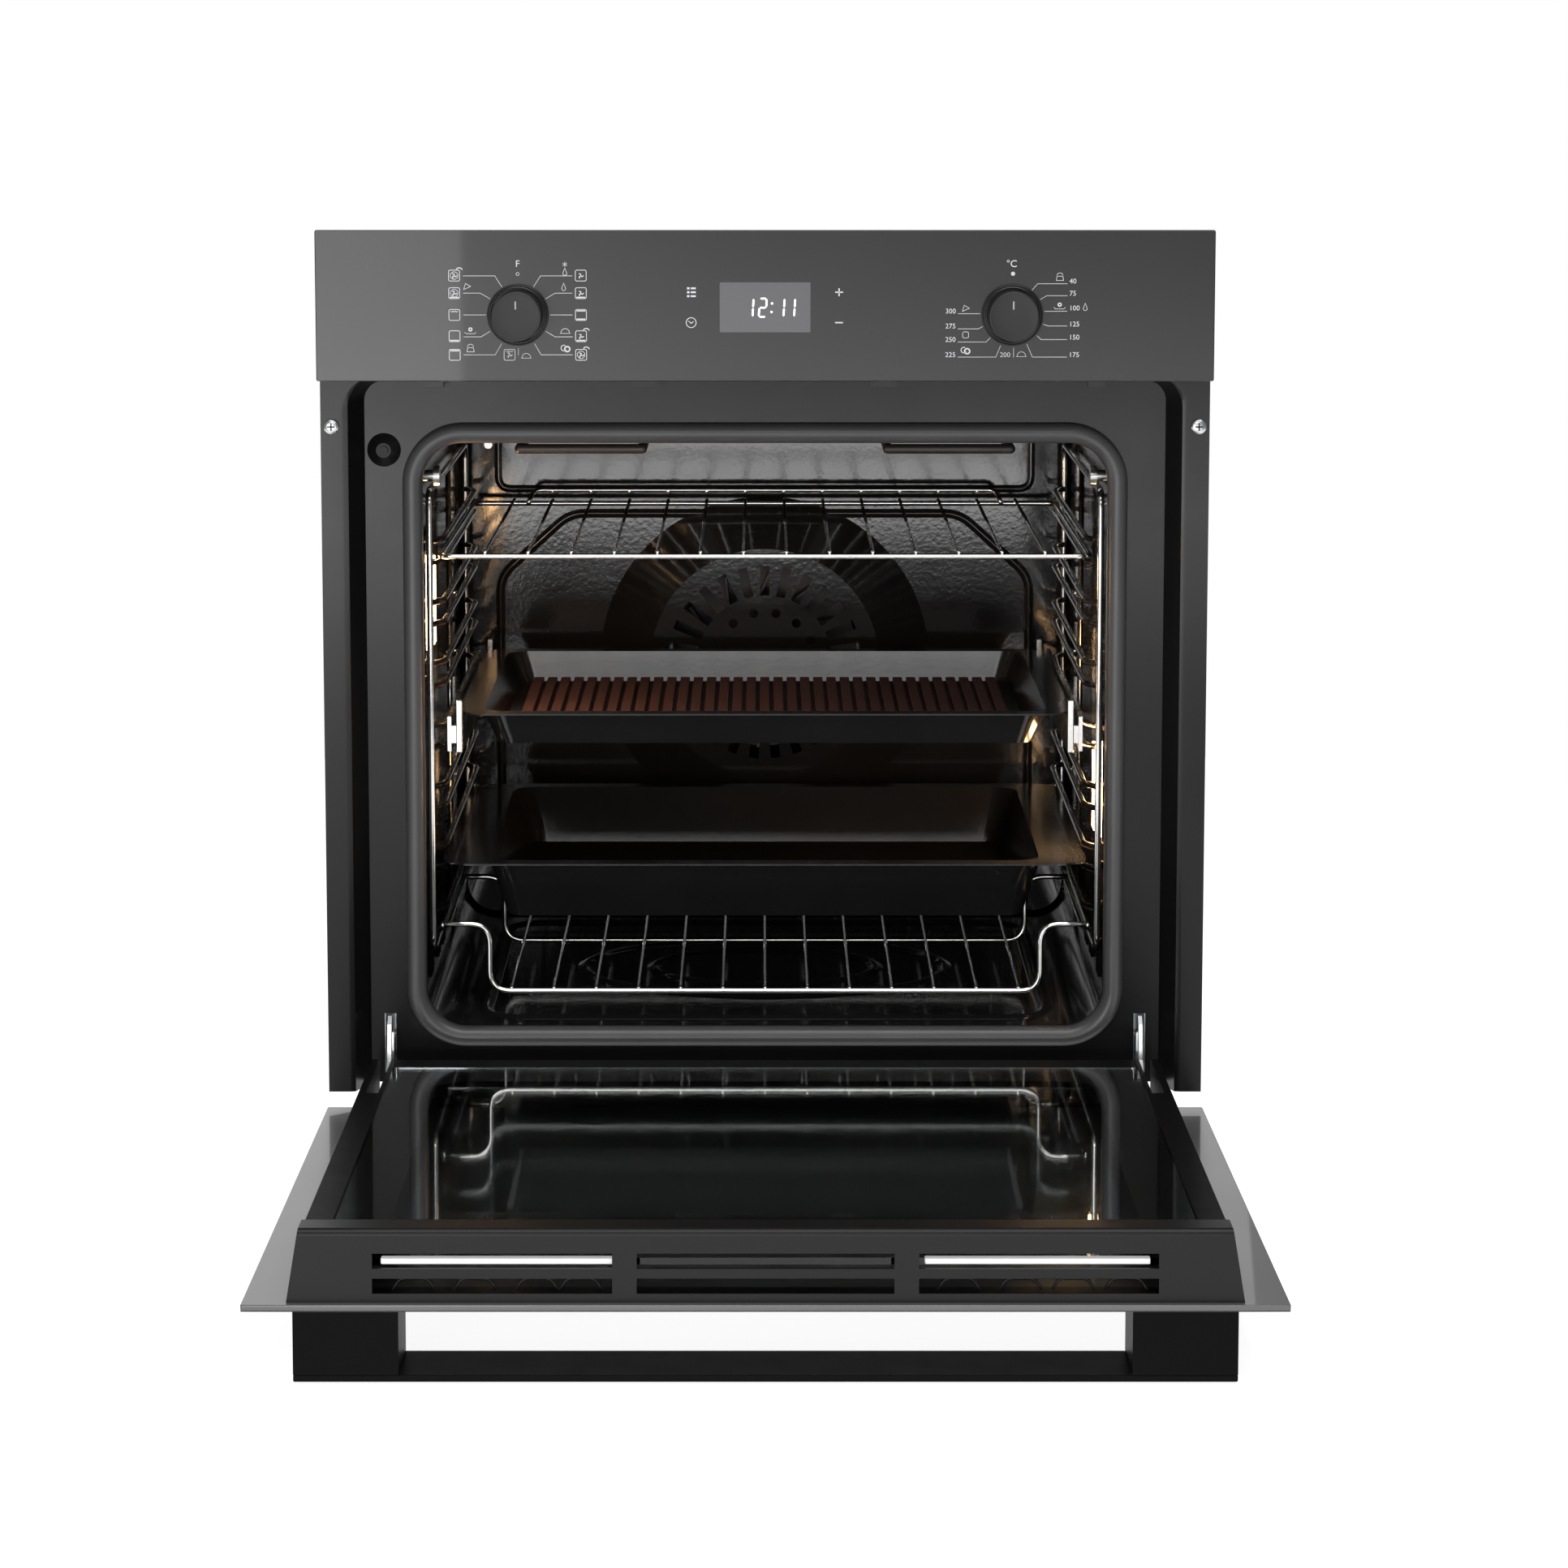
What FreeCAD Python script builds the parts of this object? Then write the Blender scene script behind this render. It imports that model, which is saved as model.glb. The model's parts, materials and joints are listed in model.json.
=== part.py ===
"""Built-in electric wall oven, 60 cm class, with its door open.

Millimetres. +X to the right of a person facing the oven, +Y into the cabinet, +Z up.
The origin is the centre of the body's underside, where it stands on the niche shelf.
The door is built closed, then turned open about its hinge pins, and the model rests open.
"""
import FreeCAD, Part
import math
import os

Vec = FreeCAD.Vector

# ---- driving dimensions ---------------------------------------------------------------
FRONT_W = 595.0          # width of control panel and door glass
FRONT_TOP = 583.0        # top edge of the control panel
PANEL_H = 100.0          # height of the control panel
BODY_W = 555.0           # body that goes into the cabinet niche
BODY_D = 545.0           # body depth behind the cabinet's front face
BODY_H = 555.0
FRONT_PROUD = 22.0       # control panel and door stand this far out of the cabinet
SHEET = 1.0              # steel sheet of casings
GLASS = 4.0              # door and panel glass
PAST = 400.0             # half width of cutting blocks that reach past every edge
GAP_DOOR = 4.0           # gap between control panel and closed door
DOOR_H = 490.0           # outer door glass
DOOR_OPEN_DEG = 89.0     # opening angle of the modelled door

CABINET_Y = -BODY_D / 2              # cabinet's front face, and the back of the flange
FRONT_Y = CABINET_Y - FRONT_PROUD    # outer face of control panel and closed door
PANEL_Z0 = FRONT_TOP - PANEL_H       # lower edge of the control panel
DOOR_TOP = PANEL_Z0 - GAP_DOOR
DOOR_BOTTOM = DOOR_TOP - DOOR_H

# front frame and cavity mouth
FLANGE_HALF = 297.3
FLANGE_BOTTOM = -4.0
RECESS_HALF = 283.0      # recess of the frame at the flange's front face
RECESS_BEVEL = 4.0       # bevel of the recess through the flange, so it enters the niche
RECESS_TOP = 484.0
RECESS_R = 22.0
RECESS_DEPTH = 28.0
PLATE_Y = CABINET_Y + RECESS_DEPTH   # front face of the plate around the cavity mouth
PLATE_HALF = 270.5
PLATE_R = 14.0
MOUTH_HALF = 231.6
MOUTH_Z0 = 35.6
MOUTH_Z1 = 437.6
MOUTH_R = 27.0

# cavity
LINER_T = 1.2
CAVITY_HALF = 234.0
CAVITY_Z0 = 33.0
CAVITY_Z1 = 441.0
CAVITY_R = 25.0
CAVITY_BACK = CABINET_Y + 464.0      # inner face of the rear wall
FAN_PANEL_Y = CABINET_Y + 423.0      # panel that stands in front of the fan
FAN_Z = 233.0            # axis of the fan, its motor and its round heater
DOME_R0 = 127.0
DOME_R1 = 88.0
DOME_H = 15.0
ELEMENT_DROP = 14.0      # grill element below the ceiling
ELEMENT_FEET = (-40.0, 40.0)
MOTOR_SHAFT_R = 4.0
LAMP_PLACES = {-1: (PLATE_Y + 62, 321.0), 1: (PLATE_Y + 62, 189.6)}     # side: (y, z)
LAMP_HALF_Y = 22.0       # lamp glass, half sizes
LAMP_HALF_Z = 30.0
LAMP_GLASS_T = 2.5

# mineral wool
WOOL_T = 14.0
WOOL_GAP = 2.0

# side racks and shelf levels
RUNG_R = 2.25
UPRIGHT_R = 2.5
BRACE_R = 2.0
TIE_R = 1.7
RUNG_X = 220.5
UPRIGHT_X = 229.0
RACK_Y0 = PLATE_Y + 20.0
RACK_Y1 = PLATE_Y + 370.0
LEVELS = 7
LEVEL_TOP = 353.5
LEVEL_PITCH = 42.6
RUNG_PAIR = 15.0
RACK_RISE = 49.0         # top of the side racks above the highest rung pair's lower rung
SHELF_Y0 = PLATE_Y + 21.0
SHELF_Y1 = PLATE_Y + 370.0
WIRE_R = 2.0
FINE_R = 1.2
GUARD_R = 1.8
WIRE_HALF = 222.0
WELD_GAP = 0.02
RUNNER_LEVEL = 3
RUNNER_GAP = 0.3
DEEP_TRAY_LEVEL = 5
LOW_RACK_LEVEL = 6
LOW_RACK_DROP = 47.0
TRAY_WALL = 1.2
TRAY_DEPTH = 22.0
DEEP_TRAY_DEPTH = 40.0
INSERT_HALF = 176.0

# door, given in the closed position
DOOR_THICK = 38.0        # outer face to inner glass
CAP_THICK = 46.5         # outer face to the lip of the top cap
CAP_TOP = 474.0
CAP_H = 26.0
DOOR_HALF_OUT = 272.0    # inner door body where it meets the outer glass
DOOR_HALF_IN = 265.0     # and at the cavity side
INNER_GLASS_HALF = 250.0
HINGE_Y = FRONT_Y + 8.8
HINGE_Z = DOOR_BOTTOM + 3.5
HINGE_X = 257.5
HINGE_ARM_T = 3.0
HINGE_PIN_R = 2.5
HINGE_BOSS_R = 4.5
HINGE_SLOT = 8.0
PIVOT_PLAY = 0.05
HANDLE_W = 536.0
HANDLE_H = 50.0
HANDLE_T = 4.0
HANDLE_OUT = 37.0
HANDLE_POST_W = 60.0
HANDLE_Z1 = DOOR_TOP - 0.5
HANDLE_Z0 = HANDLE_Z1 - HANDLE_H
POST_MID = HANDLE_W / 2 - HANDLE_POST_W / 2
POST_SCREW_Z = (HANDLE_Z0 + 12, HANDLE_Z0 + 38)
POST_SCREW_R = 2.5

# controls
KNOB_X = 163.5
KNOB_Z = FRONT_TOP - 56.0
KNOB_R = 17.0
KNOB_OUT = 22.0
BEZEL_R = 20.4
SPINDLE_R = 3.0
DISPLAY_W = 60.0
DISPLAY_H = 33.0
DISPLAY_Z = FRONT_TOP - 51.0
SCREW_X = 290.0
SCREW_Z = FRONT_TOP - 132.0
SPINDLE_HOLE_R = 6.0
SWITCH_Z = 432.8         # door switch, above the left hinge

# air path and supply
BLOWER_Y = 150.0
BLOWER_Z = 508.0
BLOWER_R = 26.0
BLOWER_L = 180.0
BLOWER_SHAFT_R = 3.0
DUCT_HALF = 236.0
DUCT_Z0 = 464.0
DUCT_Z1 = 486.0
TERMINAL_X = (172.0, 238.0)
TERMINAL_Z = (472.0, 518.0)
GLAND_X = 188.0
GLAND_Z = 484.0

PARTS = {}


# ---- small shape helpers --------------------------------------------------------------
def box(x0, x1, y0, y1, z0, z1):
    """Block between two corners."""
    return Part.makeBox(x1 - x0, y1 - y0, z1 - z0, Vec(x0, y0, z0))


def rod(start, end, radius):
    """Round bar between two points."""
    a, b = Vec(*start), Vec(*end)
    return Part.makeCylinder(radius, (b - a).Length, a, b - a)


def bent_rod(points, radius):
    """Round wire along straight runs with ball corners."""
    pieces = [rod(a, b, radius) for a, b in zip(points, points[1:])]
    pieces += [Part.makeSphere(radius, Vec(*p)) for p in points[1:-1]]
    return pieces[0].multiFuse(pieces[1:]).removeSplitter()


def disc_y(x, z, radius, y0, y1):
    """Cylinder along Y."""
    return Part.makeCylinder(radius, y1 - y0, Vec(x, y0, z), Vec(0, 1, 0))


def round_wire(x0, x1, z0, z1, radius, y):
    """Closed outline of a rounded rectangle in the plane at y."""
    k = radius * (1 - math.sqrt(0.5))
    corners = [((x0, z0 + radius), (x0 + k, z0 + k), (x0 + radius, z0)),
               ((x1 - radius, z0), (x1 - k, z0 + k), (x1, z0 + radius)),
               ((x1, z1 - radius), (x1 - k, z1 - k), (x1 - radius, z1)),
               ((x0 + radius, z1), (x0 + k, z1 - k), (x0, z1 - radius))]
    edges = []
    for i, corner in enumerate(corners):
        p = [Vec(x, y, z) for x, z in corner]
        edges.append(Part.Arc(*p).toShape())
        after = corners[(i + 1) % len(corners)][0]
        edges.append(Part.LineSegment(p[2], Vec(after[0], y, after[1])).toShape())
    return Part.Wire(edges)


def round_slab(x0, x1, z0, z1, radius, y0, y1):
    """Rounded rectangle given a thickness along Y."""
    face = Part.Face(round_wire(x0, x1, z0, z1, radius, y0))
    return face.extrude(Vec(0, y1 - y0, 0))


def tapered(*outlines):
    """Ruled solid through two or more outlines."""
    return Part.makeLoft(list(outlines), True, True)


def outline_x(points, x0, x1):
    """Polygon in the YZ plane given a thickness along X."""
    loop = [Vec(x0, y, z) for y, z in points]
    return Part.Face(Part.makePolygon(loop + loop[:1])).extrude(Vec(x1 - x0, 0, 0))


def mirror_x(shape):
    """The same piece on the other side."""
    return shape.mirror(Vec(0, 0, 0), Vec(1, 0, 0))


def both_sides(shape):
    """A piece and its mirror image as two solids."""
    return Part.makeCompound([shape, mirror_x(shape)])


def turn_open(shape):
    """Turn a closed door piece about the hinge pins into the open door."""
    turned = shape.copy()
    turned.rotate(Vec(0, HINGE_Y, HINGE_Z), Vec(1, 0, 0), DOOR_OPEN_DEG)
    return turned


# ---- casing ---------------------------------------------------------------------------
def base_plate():
    """Bottom sheet with four cooling slots in each half."""
    half = BODY_W / 2
    plate = box(-half, half, PLATE_Y + LINER_T + 0.1, -CABINET_Y, 0, SHEET)
    slots = []
    middle, reach, width, pitch = 130, 55, 8, 22
    for x in (-middle, middle):
        for i in range(4):
            y = 120 + pitch * i
            slots.append(box(x - reach, x + reach, y, y + width, -1, SHEET + 1))
    return plate.cut(Part.makeCompound(slots))


def side_casings():
    """Left and right outer side sheets, each with six upright slots."""
    half = BODY_W / 2
    wall = box(half - SHEET, half, CABINET_Y + 13, -CABINET_Y, SHEET, BODY_H - SHEET)
    width, pitch = 8, 16
    slots = []
    for i in range(6):
        y = 130 + pitch * i
        slots.append(box(half - 2, half + 1, y, y + width, 470, 520))
    return both_sides(wall.cut(Part.makeCompound(slots)))


def top_cover():
    """Top sheet with the air inlet over the cooling fan."""
    half = BODY_W / 2
    plate = box(-half, half, CABINET_Y, -CABINET_Y, BODY_H - SHEET, BODY_H)
    slots = []
    length, width, pitch_x, pitch_y = 28, 7, 36, 26
    for row in range(3):
        for col in range(8):
            x = -140 + pitch_x * col
            y = 90 + pitch_y * row
            slots.append(box(x, x + length, y, y + width, BODY_H - 3, BODY_H + 1))
    return plate.cut(Part.makeCompound(slots))


def rear_cover():
    """Back sheet with louvre slots and the opening for the terminal box."""
    half = BODY_W / 2 - SHEET
    y1 = -CABINET_Y
    plate = box(-half, half, y1 - SHEET, y1, SHEET, BODY_H - SHEET)
    slots = []
    middle, reach, width, pitch = 150, 45, 7, 20
    for x in (-middle, middle):
        for i in range(8):
            z = 120 + pitch * i
            slots.append(box(x - reach, x + reach, y1 - 3, y1 + 1, z, z + width))
    slots.append(box(TERMINAL_X[0] - 2, TERMINAL_X[1] + 2, y1 - 3, y1 + 1, TERMINAL_Z[0] - 2,
                     TERMINAL_Z[1] + 2))
    return plate.cut(Part.makeCompound(slots))


def front_frame():
    """Flange that bears on the cabinet and the drawn recess that the door sits in."""
    y0 = CABINET_Y - SHEET
    low = FLANGE_BOTTOM - 80
    flange = box(-FLANGE_HALF, FLANGE_HALF, y0, CABINET_Y, low, FRONT_TOP - 3)

    def recess(wall, bottom, start, end):
        """Solid of the recess, grown outwards by a wall."""
        neck = RECESS_HALF - RECESS_BEVEL + wall
        wide, far = RECESS_HALF + wall, PLATE_HALF + wall
        top, radius = RECESS_TOP + wall, RECESS_R + wall
        return tapered(
            round_wire(-wide, wide, bottom, top, radius, start),
            round_wire(-neck, neck, bottom, top - 0.5, radius - 3, CABINET_Y),
            round_wire(-far, far, bottom, top - 4, PLATE_R + wall, end))

    recess_out = recess(SHEET, low, y0, PLATE_Y)
    recess_in = recess(0, low - 5, y0 - 0.01, PLATE_Y + 0.01)
    frame = flange.fuse(recess_out).cut(recess_in)
    frame = frame.multiFuse(vent_posts())
    frame = frame.cut(box(-PAST, PAST, y0 - 1, PLATE_Y + 1, low - 20, FLANGE_BOTTOM))
    pockets = [disc_y(side * SCREW_X, SCREW_Z, 3.2, y0 - 1, PLATE_Y) for side in (-1, 1)]
    opening = box(-250, 250, y0 - 1, CABINET_Y + 1, PANEL_Z0 + 14, FRONT_TOP - 16)
    return frame.cut(Part.makeCompound(pockets + [opening])).removeSplitter()


def cavity_front_plate():
    """Enamelled plate around the cavity mouth, with slots for the hinge arms."""
    y1 = PLATE_Y + LINER_T
    plate = round_slab(-PLATE_HALF, PLATE_HALF, FLANGE_BOTTOM - 40, RECESS_TOP - 4, PLATE_R,
                       PLATE_Y, y1)
    plate = plate.cut(box(-PAST, PAST, PLATE_Y - 1, y1 + 1, -100, FLANGE_BOTTOM))
    mouth = round_slab(-MOUTH_HALF, MOUTH_HALF, MOUTH_Z0, MOUTH_Z1, MOUTH_R,
                       PLATE_Y - 1, y1 + 1)
    cuts = [mouth, disc_y(-HINGE_X, SWITCH_Z, 4.0, PLATE_Y - 1, y1 + 1)]
    for side in (-1, 1):
        x = side * HINGE_X
        cuts.append(box(x - 4, x + 4, PLATE_Y - 1, y1 + 1, 2, 44))
    return plate.cut(Part.makeCompound(cuts))


def door_gasket():
    """Soft seal around the cavity mouth, as four straight strips and four moulded corners."""
    width, height = 13.6, 10.5
    y0 = PLATE_Y - height

    def ring(y_a, y_b, inset_out, inset_in):
        """Band between two rounded outlines."""
        outer_half = MOUTH_HALF + width - inset_out
        inner_half = MOUTH_HALF + inset_in
        outer = round_slab(-outer_half, outer_half, MOUTH_Z0 - width + inset_out,
                           MOUTH_Z1 + width - inset_out, MOUTH_R + width - inset_out, y_a, y_b)
        inner = round_slab(-inner_half, inner_half, MOUTH_Z0 - inset_in, MOUTH_Z1 + inset_in,
                           MOUTH_R + inset_in, y_a - 1, y_b + 1)
        return outer.cut(inner)

    bead = ring(y0 + 3, PLATE_Y, 0, 0).fuse(ring(y0, y0 + 3, 2.5, 2.5)).removeSplitter()
    turn = MOUTH_HALF - MOUTH_R
    far = MOUTH_HALF + 2 * width
    z_turns = (MOUTH_Z0 + MOUTH_R, MOUTH_Z1 - MOUTH_R)
    z_far = (MOUTH_Z0 - 2 * width, MOUTH_Z1 + 2 * width)
    across = (-far, -turn, turn, far)
    up = (z_far[0], z_turns[0], z_turns[1], z_far[1])
    pieces = []
    for i in range(3):
        for j in range(3):
            if (i, j) != (1, 1):
                cell = box(across[i], across[i + 1], y0 - 1, PLATE_Y + 1, up[j], up[j + 1])
                pieces += bead.common(cell).Solids
    return Part.makeCompound(pieces)


# ---- cavity and heat ------------------------------------------------------------------
def cavity_liner():
    """Enamelled oven box, open at the front, with rounded lengthwise edges."""
    y0 = PLATE_Y + LINER_T
    outer = round_slab(-CAVITY_HALF - LINER_T, CAVITY_HALF + LINER_T, CAVITY_Z0 - LINER_T,
                       CAVITY_Z1 + LINER_T, CAVITY_R + LINER_T, y0, CAVITY_BACK + LINER_T)
    inner = round_slab(-CAVITY_HALF, CAVITY_HALF, CAVITY_Z0, CAVITY_Z1, CAVITY_R, y0 - 1,
                       CAVITY_BACK)
    cuts = [disc_y(0, FAN_Z, MOTOR_SHAFT_R + 2, CAVITY_BACK - 1, CAVITY_BACK + 5)]
    for side, (y, z) in LAMP_PLACES.items():
        x0, x1 = sorted((side * (CAVITY_HALF - 1), side * (CAVITY_HALF + 4)))
        cuts.append(box(x0, x1, y - LAMP_HALF_Y - 2, y + LAMP_HALF_Y + 2, z - LAMP_HALF_Z - 2,
                        z + LAMP_HALF_Z + 2))
    for x in ELEMENT_FEET:
        cuts.append(disc_y(x, CAVITY_Z1 - ELEMENT_DROP, 5.0, CAVITY_BACK - 1, CAVITY_BACK + 5))
    return outer.cut(inner).cut(Part.makeCompound(cuts))


def insulation():
    """Mineral wool boards on five sides of the cavity."""
    thick = WOOL_T
    half = CAVITY_HALF + LINER_T + WOOL_GAP
    z0, z1 = CAVITY_Z0 - LINER_T - WOOL_GAP, CAVITY_Z1 + LINER_T + WOOL_GAP
    y0, y1 = PLATE_Y + 6, CAVITY_BACK + LINER_T + WOOL_GAP
    left = box(-half - thick, -half, y0, y1, z0, z1)
    right = mirror_x(left)
    lamp_wells = []
    for side, (y, z) in LAMP_PLACES.items():
        x = side * (half + thick / 2)
        lamp_wells.append(box(x - thick, x + thick, y - LAMP_HALF_Y - 12, y + LAMP_HALF_Y + 12,
                              z - LAMP_HALF_Z - 12, z + LAMP_HALF_Z + 12))
    wells = Part.makeCompound(lamp_wells)
    top = box(-half - thick, half + thick, y0, y1, z1, z1 + thick)
    bottom = box(-half - thick, half + thick, y0, y1, z0 - thick, z0)
    bottom = bottom.cut(box(-185, 185, PLATE_Y + 60, CAVITY_BACK - 40, z0 - 9, z0 + 1))
    rear = box(-half - thick, half + thick, y1, y1 + thick, z0, z1)
    rear = rear.cut(disc_y(0, FAN_Z, 48.0, y1 - 1, y1 + thick + 1))
    return Part.makeCompound([left.cut(wells), right.cut(wells), top, bottom, rear])


def fan_panel():
    """Rear panel with a slotted dome in front of the fan."""
    half = CAVITY_HALF - 3
    y1 = FAN_PANEL_Y + SHEET
    panel = round_slab(-half, half, CAVITY_Z0 + 3, CAVITY_Z1 - 3, 22, FAN_PANEL_Y, y1)
    panel = panel.cut(disc_y(0, FAN_Z, DOME_R0 - 1, FAN_PANEL_Y - 1, y1 + 1))
    top = FAN_PANEL_Y - DOME_H
    profile = [(0, top), (DOME_R1, top), (DOME_R0, FAN_PANEL_Y), (DOME_R0, y1),
               (DOME_R0 - 3, y1), (DOME_R1 - 1, top + SHEET), (0, top + SHEET)]
    loop = [Vec(r, y, FAN_Z) for r, y in profile]
    face = Part.Face(Part.makePolygon(loop + loop[:1]))
    dome = face.revolve(Vec(0, 0, FAN_Z), Vec(0, 1, 0), 360)
    cuts = []
    slots = 27
    for i in range(slots):
        slot = box(-3.6, 3.6, top - 1, top + 3, FAN_Z + 52, FAN_Z + 75)
        slot.rotate(Vec(0, 0, FAN_Z), Vec(0, 1, 0), 360.0 * i / slots)
        cuts.append(slot)
    holes, ring_r = 14, 39
    for i in range(holes):
        a = 2 * math.pi * i / holes
        cuts.append(disc_y(ring_r * math.cos(a), FAN_Z + ring_r * math.sin(a), 3.5, top - 1,
                           top + 3))
    for x in ELEMENT_FEET:
        cuts.append(disc_y(x, CAVITY_Z1 - ELEMENT_DROP, 5.0, FAN_PANEL_Y - 1, y1 + 1))
    return panel.fuse(dome).cut(Part.makeCompound(cuts)).removeSplitter()


def convection_fan():
    """Impeller with bent blades on a disc, and its shaft through the rear wall."""
    y0 = FAN_PANEL_Y + 8
    disc = disc_y(0, FAN_Z, 72, y0 + 22, y0 + 23.5)
    hub = disc_y(0, FAN_Z, 12, y0 + 6, y0 + 23)
    shaft = disc_y(0, FAN_Z, MOTOR_SHAFT_R, y0 + 10, CAVITY_BACK + 22)
    pieces = [hub, shaft]
    blades = 12
    for i in range(blades):
        blade = box(-0.8, 0.8, y0, y0 + 22.5, FAN_Z + 44, FAN_Z + 71)
        blade.rotate(Vec(0, 0, FAN_Z + 58), Vec(0, 1, 0), 25)
        blade.rotate(Vec(0, 0, FAN_Z), Vec(0, 1, 0), 360.0 * i / blades)
        pieces.append(blade)
    return disc.multiFuse(pieces).removeSplitter()


def fan_motor():
    """Motor behind the rear wall, with a bore for the fan shaft."""
    y0 = CAVITY_BACK + LINER_T + 1
    can = disc_y(0, FAN_Z, 36, y0 + 4, y0 + 50)
    flange = box(-44, 44, y0 + 4, y0 + 6, FAN_Z - 12, FAN_Z + 12)
    bore = disc_y(0, FAN_Z, MOTOR_SHAFT_R + PIVOT_PLAY, y0 - 1, y0 + 30)
    return can.fuse(flange).cut(bore)


def ring_heater():
    """Round heating element about the fan."""
    y = FAN_PANEL_Y + 18
    tube_r = 3.2
    lead_z = FAN_Z + 88
    ring = Part.makeTorus(92, tube_r, Vec(0, y, FAN_Z), Vec(0, 1, 0))
    leads = [rod((x, y, lead_z), (x, CAVITY_BACK - 0.4, lead_z), tube_r) for x in (-20, 20)]
    return ring.multiFuse(leads)


def grill_element():
    """Meandering grill element under the cavity ceiling."""
    z = CAVITY_Z1 - ELEMENT_DROP
    foot, inner, outer = ELEMENT_FEET[1], 85, 170
    y0, y1 = PLATE_Y + 70, CAVITY_BACK + 3
    y_loop, y_rear = y0 + 190, y0 + 240
    right = [(inner, y_loop, z), (inner, y0, z), (outer, y0, z), (outer, y_rear, z),
             (foot, y_rear, z), (foot, y1, z)]
    left = [(-x, y, z) for x, y, z in reversed(right)]
    return bent_rod(left + right, 3.4)


def bottom_element():
    """Heating element between the cavity floor and the lower insulation."""
    z = CAVITY_Z0 - LINER_T - 6.4
    end, outer = 30, 170
    y0, y1 = PLATE_Y + 75, CAVITY_BACK - 55
    points = [(-end, y1, z), (-outer, y1, z), (-outer, y0, z), (outer, y0, z), (outer, y1, z),
              (end, y1, z)]
    return bent_rod(points, 3.2)


def thermostat_bulb():
    """Temperature sensor rod on a clip under the ceiling at the upper left."""
    x, z = -205, CAVITY_Z1 - 30
    bulb = rod((x, CAVITY_BACK - 160, z), (x, CAVITY_BACK - 50, z), 3.0)
    clip = box(x - 4, x + 4, CAVITY_BACK - 112, CAVITY_BACK - 106, z, CAVITY_Z1 - 6)
    return bulb.fuse(clip)


def lamp_block(x0, x1, y, z, margin):
    """Block of a lamp's size, grown all round by a margin."""
    half_y, half_z = LAMP_HALF_Y + margin, LAMP_HALF_Z + margin
    return box(x0, x1, y - half_y, y + half_y, z - half_z, z + half_z)


def lamp_pieces():
    """Glass covers, holders and capsule bulbs of the two side lamps."""
    glasses, holders, bulbs = [], [], []
    for side, (y, z) in LAMP_PLACES.items():
        inner = side * (CAVITY_HALF - 4)
        outer = side * (CAVITY_HALF + LINER_T + 0.5)
        x0, x1 = sorted((inner, outer))
        shell = lamp_block(x0, x1, y, z, 0)
        x0, x1 = sorted((inner + side * LAMP_GLASS_T, outer + side * 2))
        glasses.append(shell.cut(lamp_block(x0, x1, y, z, -LAMP_GLASS_T)))
        x0, x1 = sorted((outer + side * 0.1, outer + side * 20))
        cup = lamp_block(x0, x1, y, z, 8)
        x0, x1 = sorted((outer - side * 1, outer + side * 18))
        holders.append(cup.cut(lamp_block(x0, x1, y, z, 6)))
        x = outer + side * 9
        bulb = rod((x, y, z - 16), (x, y, z + 16), 6.0)
        base = rod((x, y, z - 35.9), (x, y, z - 16), 4.0)
        bulbs.append(bulb.fuse(base))
    PARTS["lamp_glasses"] = Part.makeCompound(glasses)
    PARTS["lamp_holders"] = Part.makeCompound(holders)
    PARTS["lamp_bulbs"] = Part.makeCompound(bulbs)


# ---- racks, runners and shelves -------------------------------------------------------
def level_z(level):
    """Height of the lower rung of a shelf level, counted from the top."""
    return LEVEL_TOP - LEVEL_PITCH * level


def side_rack():
    """Left wire rack: a looped frame, a brace, pairs of bent rungs and short ties, wire by wire."""
    bend = 16.0
    low = level_z(LEVELS - 1) - 14
    top = level_z(0) + RACK_RISE
    frame = bent_rod([(-UPRIGHT_X, RACK_Y0, low), (-UPRIGHT_X, RACK_Y0, top),
                      (-UPRIGHT_X, RACK_Y1, top), (-UPRIGHT_X, RACK_Y1, low),
                      (-UPRIGHT_X, RACK_Y0, low)], UPRIGHT_R)
    middle_y = (RACK_Y0 + RACK_Y1) / 2
    brace = rod((-UPRIGHT_X, middle_y, low), (-UPRIGHT_X, middle_y, top), BRACE_R).cut(frame)
    wires = [frame, brace]
    for level in range(LEVELS):
        z = level_z(level)
        for height in (z, z + RUNG_PAIR):
            rung = bent_rod([(-UPRIGHT_X, RACK_Y0, height), (-RUNG_X, RACK_Y0 + bend, height),
                             (-RUNG_X, RACK_Y1 - bend, height), (-UPRIGHT_X, RACK_Y1, height)],
                            RUNG_R)
            wires.append(rung.cut(frame))
        tie = rod((-UPRIGHT_X, middle_y, z), (-RUNG_X, middle_y, z), TIE_R)
        wires.append(tie.cut(brace).cut(wires[-2]))
    return Part.makeCompound([solid for wire in wires for solid in wire.Solids])


def rack_nuts():
    """Knurled nuts that hold the side racks at their upper corners."""
    z = level_z(0) + RACK_RISE
    nuts = []
    for side in (-1, 1):
        for y in (RACK_Y0 + 14, RACK_Y1 - 14):
            x0 = side * (UPRIGHT_X - RUNG_R - 4.3)
            x1 = side * (CAVITY_HALF - 0.2)
            head = rod((x0, y, z + 9.5), (side * (UPRIGHT_X - 2.3), y, z + 9.5), 7.0)
            nuts.append(head.fuse(rod((x0, y, z + 9.5), (x1, y, z + 9.5), 4.0)))
    return Part.makeCompound(nuts)


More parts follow.
